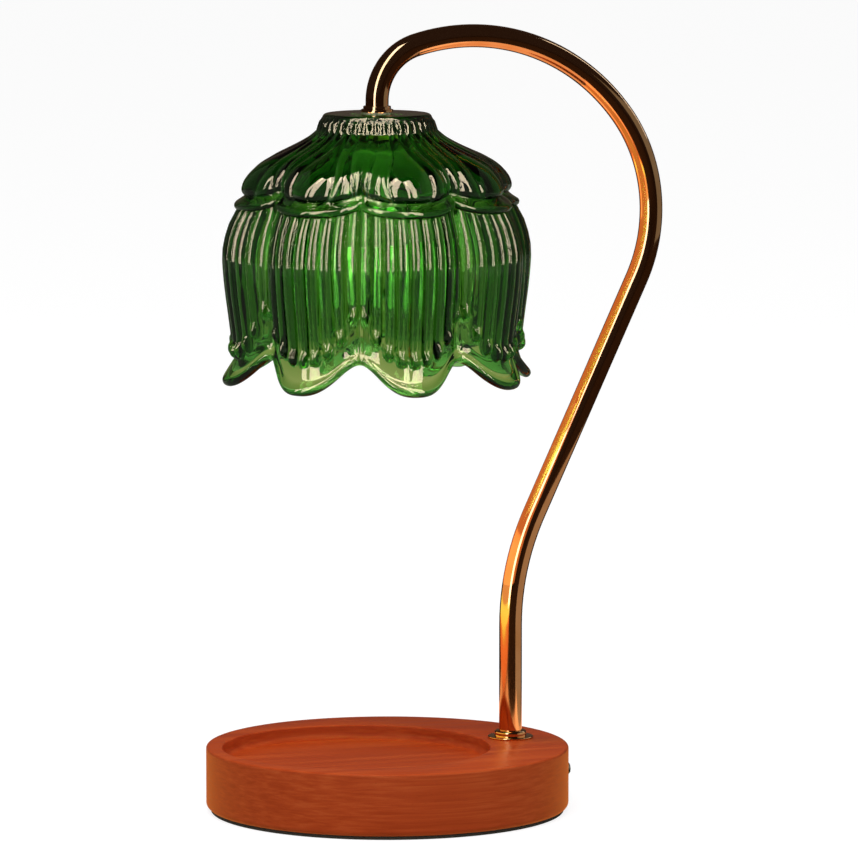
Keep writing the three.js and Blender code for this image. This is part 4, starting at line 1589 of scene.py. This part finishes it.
    def inside(self, across: float, hem: float) -> list[Triple]:
        """Give the smooth inside wall from the rim up to the hole.

        Args:
            across: Place across the petal, -1 to 1.
            hem: Depth of the hem there.

        Returns:
            Points as section gives them.
        """
        rim = hem - self.rim_half
        points = []
        for i in range(1, self.tip_rows):
            up = self.tip_height * i / self.tip_rows
            radius, crease = self.bell_at(rim - up)
            swell = self.tip_swell * math.sin(math.pi * up / self.tip_height) ** 2
            wall = 2 * self.rim_half + swell
            points.append(self.inner(radius - wall, crease, across, rim - up))
        first = self.place_at(self.inside_outline, rim - self.tip_height)
        for i in range(1, self.inside_rows + 1):
            place = first * (1 - i / self.inside_rows)
            depth, radius, crease = self.trace(self.inside_outline, place)
            points.append(self.inner(radius, crease, across, depth))
        points.append(((self.hole_radius + points[-1][0]) / 2, 0, self.top_thickness))
        return points


@dataclass
class ShadeFixing:
    """Brass collar that sits on the glass at the top of the shade."""

    x: float = -4.503 * MM
    hole: float = 5.05 * MM
    plate_radius: float = 7 * MM
    boss_radius: float = 6 * MM
    step_height: float = 1.2 * MM
    edge: float = 0.3 * MM
    sides: int = 96

    def build(self) -> None:
        """Turn the two-stepped collar."""
        low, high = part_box("shade_collar")
        step = low.z + self.step_height
        plate = (self.plate_radius - self.edge, step - self.edge)
        boss = (self.boss_radius - self.edge, high.z - self.edge)
        profile = [
            (self.hole, low.z),
            (self.plate_radius, low.z),
            *arc(plate, self.edge, start=0, end=90, steps=4),
            (self.boss_radius, step),
            *arc(boss, self.edge, start=0, end=90, steps=4),
            (self.hole, high.z),
            (self.hole, low.z),
        ]
        collar = turned("shade_brass_collar", profile, self.sides, (self.x, 0))
        smooth(collar, degrees=30)
        dress(collar, POLISHED_BRASS, ["shade_collar"])


@dataclass
class Repaints:
    """CAD nodes that stay in view, by finish."""

    groups: tuple[tuple[Finish, tuple[str, ...]], ...] = (
        (FIBRE, ("bottom_cover",)),
        (ZINC_STEEL, ("cover_screw_1", "cover_screw_2", "cover_screw_3", "cover_screw_4")),
        (ZINC_STEEL, ("foot_lock_washer", "shade_plate", "holder_bracket")),
        (ZINC_STEEL, ("holder_screw_1", "holder_screw_2", "block_fixing_screw")),
        (ZINC_STEEL, ("block_screw_1", "block_screw_2", "block_screw_3", "block_screw_4")),
        (BLACK_NYLON, ("cord_gland",)),
        (WHITE_PLASTIC, ("terminal_block",)),
        (PLAIN_BRASS, ("foot_nut", "shade_nut", "holder_contact_1", "holder_contact_2")),
        (SILICONE, ("arm_lead", "lead_core_1", "lead_core_2", "upper_gasket", "lower_gasket")),
        (STEATITE, ("lamp_holder", "lamp_cap")),
        (NICKEL, ("lamp_pin_1", "lamp_pin_2")),
        (MIRROR_COAT, ("lamp_bowl",)),
        (CLEAR_GLASS, ("lamp_lens", "lamp_capsule")),
    )

    def build(self) -> None:
        """Repaint each node."""
        for finish, nodes in self.groups:
            repaint(nodes, finish)


@dataclass(frozen=True)
class Panel:
    """Light that stands round the lamp and faces it.

    Attributes:
        name: Name of the light.
        azimuth: Degrees round the lamp, from the camera's side.
        elevation: Degrees above the horizon.
        width: Its width in metres.
        height: Its height in metres.
        light: Brightness of its face, where one is white.
        colour: Its colour as an sRGB hex value.
    """

    name: str
    azimuth: float
    elevation: float
    width: float
    height: float
    light: float
    colour: str


@dataclass(frozen=True)
class Card:
    """Light close to the lamp.

    Attributes:
        name: Name of the light.
        at: Its place.
        to: Point that it faces.
        size: Its width and height in metres.
        light: Brightness of its face, where one is white.
        colour: Its colour as an sRGB hex value.
    """

    name: str
    at: Triple
    to: Triple
    size: Pair
    light: float
    colour: str


@dataclass
class Studio:
    """Pale floor, soft light and the camera at the photograph's angle.

    Attributes:
        camera_at: The camera's place.
        camera_to: Point that it looks at, and that the panels face.
        focal_pixels: Its focal length in pixels of the picture.
        image_pixels: Width of the picture in pixels.
        sensor: Width of its sensor in millimetres.
        far: Distance up to which it sees.
        floor_radius: Radius of the floor.
        floor_sides: Its number of sides.
        floor_z: Its height, just under the foam pad.
        floor_colour: Its paint.
        floor_lift: Light that brings the paint up to white in the picture.
        floor_reflected: Its paint in reflections.
        floor_glow_through_glass: Its glow through glass, a painted warm glow in place of warm
            light.
        soft_light: Brightness of the soft light from all round.
        room_colour: Colour of the room in reflections.
        backdrop_colour: Colour of the cloth behind the lamp in reflections.
        backdrop_edge: Where that cloth ends, as the cosine to the camera's way.
        beyond_colour: Colour of the room through glass.
        beyond_cloth: Colour of the cloth through glass.
        beyond_edge: Where the cloth ends through glass.
        edge_width: Width of the cloth's soft edge.
        panel_distance: Distance of the panels.
        key_way: The key light's place, seen from camera_to.
        key_size: Its width and height.
        key_light: Brightness of its face, where one is white.
        brass: Pieces of polished brass.
        wood: Pieces of wood.
        glass_windows: Panels that the glass mirrors.
        brass_windows: Panels that the brass mirrors.
        wood_floor: Warm floor that the wood mirrors.
        glass_floor: Pale floor that the glass mirrors.
        wood_cards: Lights on the wood.
        brass_cards: Cards close to the lamp that the brass mirrors.
    """

    camera_at: Triple = (-1.0131, -2.8387, 0.5239)
    camera_to: Triple = (0.01705, -0.0062, 0.16703)
    focal_pixels: float = 7000
    image_pixels: float = 858
    sensor: float = 36
    far: float = 100
    floor_radius: float = 30
    floor_sides: int = 128
    floor_z: float = -0.05 * MM
    floor_colour: str = "#8f8f8f"
    floor_lift: float = 0.84
    floor_reflected: str = "#34241b"
    floor_glow_through_glass: str = "#dcc48c"
    soft_light: float = 0.42
    room_colour: str = "#2a2020"
    backdrop_colour: str = "#54483f"
    backdrop_edge: float = 0.75
    beyond_colour: str = "#6b6f68"
    beyond_cloth: str = "#eaecc4"
    beyond_edge: float = 0.6
    edge_width: float = 0.2
    panel_distance: float = 1.3
    key_way: Triple = (-0.55, -0.75, 2.4)
    key_size: float = 1.8
    key_light: float = 4.5
    brass: tuple[str, ...] = (
        "arm_brass_tube",
        "arm_foot_washer",
        "arm_foot_ring",
        "shade_brass_collar",
    )
    wood: tuple[str, ...] = ("wooden_base",)
    glass_windows: tuple[Panel, ...] = (
        Panel("window_1", -61, 38, 0.17, 2.2, 13, "#ffe9ca"),
        Panel("window_2", -40, 38, 0.38, 2.2, 13, "#ffe9ca"),
        Panel("window_3", 14, 38, 0.19, 2.2, 13, "#ffe9ca"),
        Panel("window_4", 36, 38, 0.38, 2.2, 13, "#ffe9ca"),
        Panel("room_front", 0, 20, 4.5, 3.0, 0.3, "#d4e6c4"),
        Panel("room_left", -100, 15, 2.2, 2.4, 0.2, "#c8e6b4"),
        Panel("room_right", 100, 15, 2.2, 2.4, 0.2, "#c8e6b4"),
    )
    brass_windows: tuple[Panel, ...] = (
        Panel("brass_window", -27, 30, 0.42, 2.2, 4.2, "#cfe0ff"),
        Panel("brass_window_behind", 129, 32, 0.12, 0.8, 3.2, "#cfe0ff"),
        Panel("brass_wall", 100, 8, 1.6, 0.9, 0.2, "#ffffff"),
    )
    wood_floor: Card = Card("wood_floor", (0, 0, 0.001), (0, 0, 1), (1.6, 1.6), 1.2, "#ff9a48")
    glass_floor: Card = Card("glass_floor", (0, 0, 0.0005), (0, 0, 1), (6, 6), 0.32, "#d0e4c8")
    wood_cards: tuple[Card, ...] = (
        Card("bulb_glow", (0.025, 0.03, 0.2), (0.025, 0.03, 0), (0.05, 0.05), 13, "#ffb884"),
        Card("wood_fill", (-0.5, -1.1, 0.08), (0, 0, 0.015), (0.8, 0.3), 1.6, "#ffe2cc"),
    )
    brass_cards: tuple[Card, ...] = (
        Card("card_under", (0, 0.02, 0.002), (0, 0.02, 1), (0.5, 0.5), 1.1, "#ffc09b"),
        Card("card_low", (-0.28, 0.02, 0.014), (0.06, 0, 0.014), (1, 0.028), 1.1, "#ff8a50"),
        Card("card_middle", (-0.28, 0.02, 0.052), (0.06, 0, 0.052), (1, 0.048), 1.5, "#f8f57c"),
        Card("card_high", (-0.28, 0.02, 0.158), (0.06, 0, 0.158), (1, 0.164), 1, "#ffc488"),
        Card("card_beside", (0.066, 0.03, 0.2), (0.266, 0.03, 0.16), (0.14, 0.21), 0.75, "#ffa064"),
        Card("card_right", (0.22, -0.06, 0.045), (0.07, 0, 0.045), (0.28, 0.1), 0.4, "#ffe6d8"),
    )

    def build(self) -> None:
        """Make the stage, the lights and the camera."""
        self.build_camera()
        self.build_floor()
        self.build_world()
        self.build_lights()
        bpy.context.scene.view_settings.view_transform = "Standard"

    def build_camera(self) -> None:
        """Place the camera with its long lens."""
        data = bpy.data.cameras.new("camera")
        data.sensor_width = self.sensor
        data.lens = self.focal_pixels / self.image_pixels * self.sensor
        data.clip_end = self.far
        camera = bpy.data.objects.new("camera", data)
        bpy.context.scene.collection.objects.link(camera)
        camera.location = self.camera_at
        way = Vector(self.camera_to) - Vector(self.camera_at)
        camera.rotation_mode = "QUATERNION"
        camera.rotation_quaternion = way.to_track_quat("-Z", "Y")
        bpy.context.scene.camera = camera

    def build_floor(self) -> None:
        """Lay a round white floor that keeps the lamp's shadow."""
        deselect()
        bpy.ops.mesh.primitive_circle_add(
            vertices=self.floor_sides,
            radius=self.floor_radius,
            fill_type="NGON",
            location=(0, 0, self.floor_z),
        )
        floor = bpy.context.object
        floor.name = "floor"
        material = bpy.data.materials.new("studio_floor_white_paint")
        material.use_nodes = True
        tree = material.node_tree
        shader = tree.nodes["Principled BSDF"]
        shader.inputs["Roughness"].default_value = 1.0
        shader.inputs["Specular IOR Level"].default_value = 0.0
        # Through glass the floor glows warm cream: a painted warm glow in place of warm light under
        # the shade
        mixed = (
            ("Base Color", "Is Glossy Ray", self.floor_colour, self.floor_reflected),
            ("Emission Color", "Is Transmission Ray", "#ffffff", self.floor_glow_through_glass),
        )
        for socket, ray, first, second in mixed:
            settings = {"data_type": "RGBA", MIX_FIRST: linear(first), MIX_SECOND: linear(second)}
            both = add_node(tree, "ShaderNodeMix", settings, _0=self.seen(tree, ray))
            tree.links.new(both.outputs[MIX_RESULT], shader.inputs[socket])
        seen = self.seen(tree, "Is Camera Ray", "Is Transmission Ray")
        settings = {"operation": "MULTIPLY", 1: self.floor_lift}
        lift = add_node(tree, "ShaderNodeMath", settings, _0=seen).outputs[0]
        tree.links.new(lift, shader.inputs["Emission Strength"])
        floor.data.materials.append(material)

    def seen(self, tree: Tree, *rays: str) -> Socket:
        """Give one for the named kinds of ray, and zero for the others.

        Args:
            tree: Node tree that gets the nodes.
            rays: Names of outputs of Light Path.

        Returns:
            The factor's socket.
        """
        path = add_node(tree, "ShaderNodeLightPath").outputs
        total = path[rays[0]]
        for ray in rays[1:]:
            settings = {"operation": "MAXIMUM"}
            total = add_node(tree, "ShaderNodeMath", settings, _0=total, _1=path[ray]).outputs[0]
        return total

    def build_world(self) -> None:
        """Show white to the eye and a cloth in a dim room to reflections, and give soft light."""
        world = bpy.data.worlds.new("studio")
        bpy.context.scene.world = world
        world.use_nodes = True
        tree = world.node_tree
        tree.nodes.clear()
        place = add_node(tree, "ShaderNodeTexCoord").outputs["Generated"]
        back = (Vector(self.camera_to) - Vector(self.camera_at)).to_2d().normalized()
        settings = {"operation": "DOT_PRODUCT", 1: (back.x, back.y, 0)}
        way = add_node(tree, "ShaderNodeVectorMath", settings, _0=place).outputs["Value"]
        white = linear("#ffffff")
        settings = {"Color": white, "Strength": self.soft_light}
        light = add_node(tree, "ShaderNodeBackground", settings).outputs[0]
        plain = add_node(tree, "ShaderNodeBackground", {"Color": white, "Strength": 1.0})
        mirrored = (self.backdrop_edge, self.room_colour, self.backdrop_colour)
        through = (self.beyond_edge, self.beyond_colour, self.beyond_cloth)
        looks = (
            ("Is Glossy Ray", self.backdrop(tree, way, *mirrored)),
            ("Is Transmission Ray", self.backdrop(tree, way, *through)),
            ("Is Camera Ray", plain.outputs[0]),
        )
        for ray, look in looks:
            seen = self.seen(tree, ray)
            light = add_node(tree, "ShaderNodeMixShader", Fac=seen, _1=light, _2=look).outputs[0]
        add_node(tree, "ShaderNodeOutputWorld", Surface=light)

    def backdrop(self, tree: Tree, way: Socket, edge: float, room: str, cloth: str) -> Socket:
        """Give a cloth behind the lamp in a darker room.

        Args:
            tree: Node tree of the world.
            way: How much a direction points away from the camera, -1 to 1.
            edge: Value of that where the cloth ends.
            room: Colour beside the cloth, as an sRGB hex value.
            cloth: Colour of the cloth, as an sRGB hex value.

        Returns:
            The socket of its background shader.
        """
        settings = {
            "interpolation_type": "SMOOTHSTEP",
            "From Min": edge,
            "From Max": edge + self.edge_width,
        }
        behind = add_node(tree, "ShaderNodeMapRange", settings, Value=way).outputs["Result"]
        settings = {"data_type": "RGBA", MIX_FIRST: linear(room), MIX_SECOND: linear(cloth)}
        both = add_node(tree, "ShaderNodeMix", settings, _0=behind).outputs[MIX_RESULT]
        shader = add_node(tree, "ShaderNodeBackground", {"Strength": 1.0}, Color=both)
        return shader.outputs[0]

    def build_lights(self) -> None:
        """Stand windows and cards round the lamp, and hang one soft key light."""
        way = Vector(self.camera_at)
        front = math.atan2(way.y, way.x)
        target = Vector(self.camera_to)
        metal = self.receivers("brass_pieces", lambda piece: piece.name in self.brass)
        timber = self.receivers("wooden_pieces", lambda piece: piece.name in self.wood)
        known = self.brass + self.wood
        others = self.receivers("other_pieces", lambda piece: piece.name not in known)
        for panels, reached in ((self.glass_windows, others), (self.brass_windows, metal)):
            for panel in panels:
                angle = front + math.radians(panel.azimuth)
                out = self.toward(angle, math.radians(panel.elevation))
                at = tuple(target + out * self.panel_distance)
                size = (panel.width, panel.height)
                card = Card(panel.name, at, self.camera_to, size, panel.light, panel.colour)
                self.add_light(card, reached, Shine.GLASS)
        groups = (
            (self.brass_cards, metal, Shine.MIRRORED),
            ((self.wood_floor,), timber, Shine.MIRRORED),
            ((self.glass_floor,), others, Shine.MIRRORED),
            (self.wood_cards, timber, Shine.SOFT),
        )
        for cards, reached, shine in groups:
            for card in cards:
                self.add_light(card, reached, shine)
        at = tuple(target + Vector(self.key_way))
        size = (self.key_size, self.key_size)
        key = Card("key", at, self.camera_to, size, self.key_light, "#ffffff")
        self.add_light(key, None, Shine.SOFT)

    def receivers(self, name: str, wanted: Callable[[Piece], bool]) -> bpy.types.Collection:
        """Collect the pieces that a light reaches.

        Args:
            name: Name of the collection.
            wanted: Test of a piece.

        Returns:
            The collection.
        """
        group = bpy.data.collections.new(name)
        for piece in bpy.data.objects:
            if piece.type == "MESH" and wanted(piece):
                group.objects.link(piece)
        return group

    def toward(self, angle: float, lift: float) -> Vector:
        """Return the unit vector of a plan angle and an elevation."""
        flat = math.cos(lift)
        return Vector((math.cos(angle) * flat, math.sin(angle) * flat, math.sin(lift)))

    def add_light(
        self, card: Card, reached: Optional[bpy.types.Collection], shine: Shine
    ) -> None:
        """Add an area light.

        Args:
            card: What it is.
            reached: Pieces that it reaches, or none for all.
            shine: Where it shows.
        """
        data = bpy.data.lights.new(card.name, "AREA")
        data.shape = "RECTANGLE"
        data.size, data.size_y = card.size
        data.energy = card.light * math.pi * card.size[0] * card.size[1]
        data.color = linear(card.colour)[:3]
        lamp = bpy.data.objects.new(card.name, data)
        bpy.context.scene.collection.objects.link(lamp)
        way = Vector(card.to) - Vector(card.at)
        lamp.location = card.at
        lamp.rotation_mode = "QUATERNION"
        lamp.rotation_quaternion = way.to_track_quat("-Z", "Y")
        lamp.visible_camera = False
        lamp.visible_diffuse = shine is Shine.SOFT
        lamp.visible_glossy = shine is not Shine.SOFT
        lamp.visible_transmission = shine is Shine.GLASS
        if reached:
            lamp.light_linking.receiver_collection = reached


def main() -> None:
    """Build the lamp and its stage."""
    logging.basicConfig(level=logging.INFO, format="%(name)s: %(message)s")
    parts = [WoodenBase(), BrassArm(), GlassShade(), ShadeFixing(), Repaints(), Studio()]
    for part in parts:
        part.build()
        log.info("%s done", type(part).__name__)
    deselect()


if __name__ == "__main__":
    main()
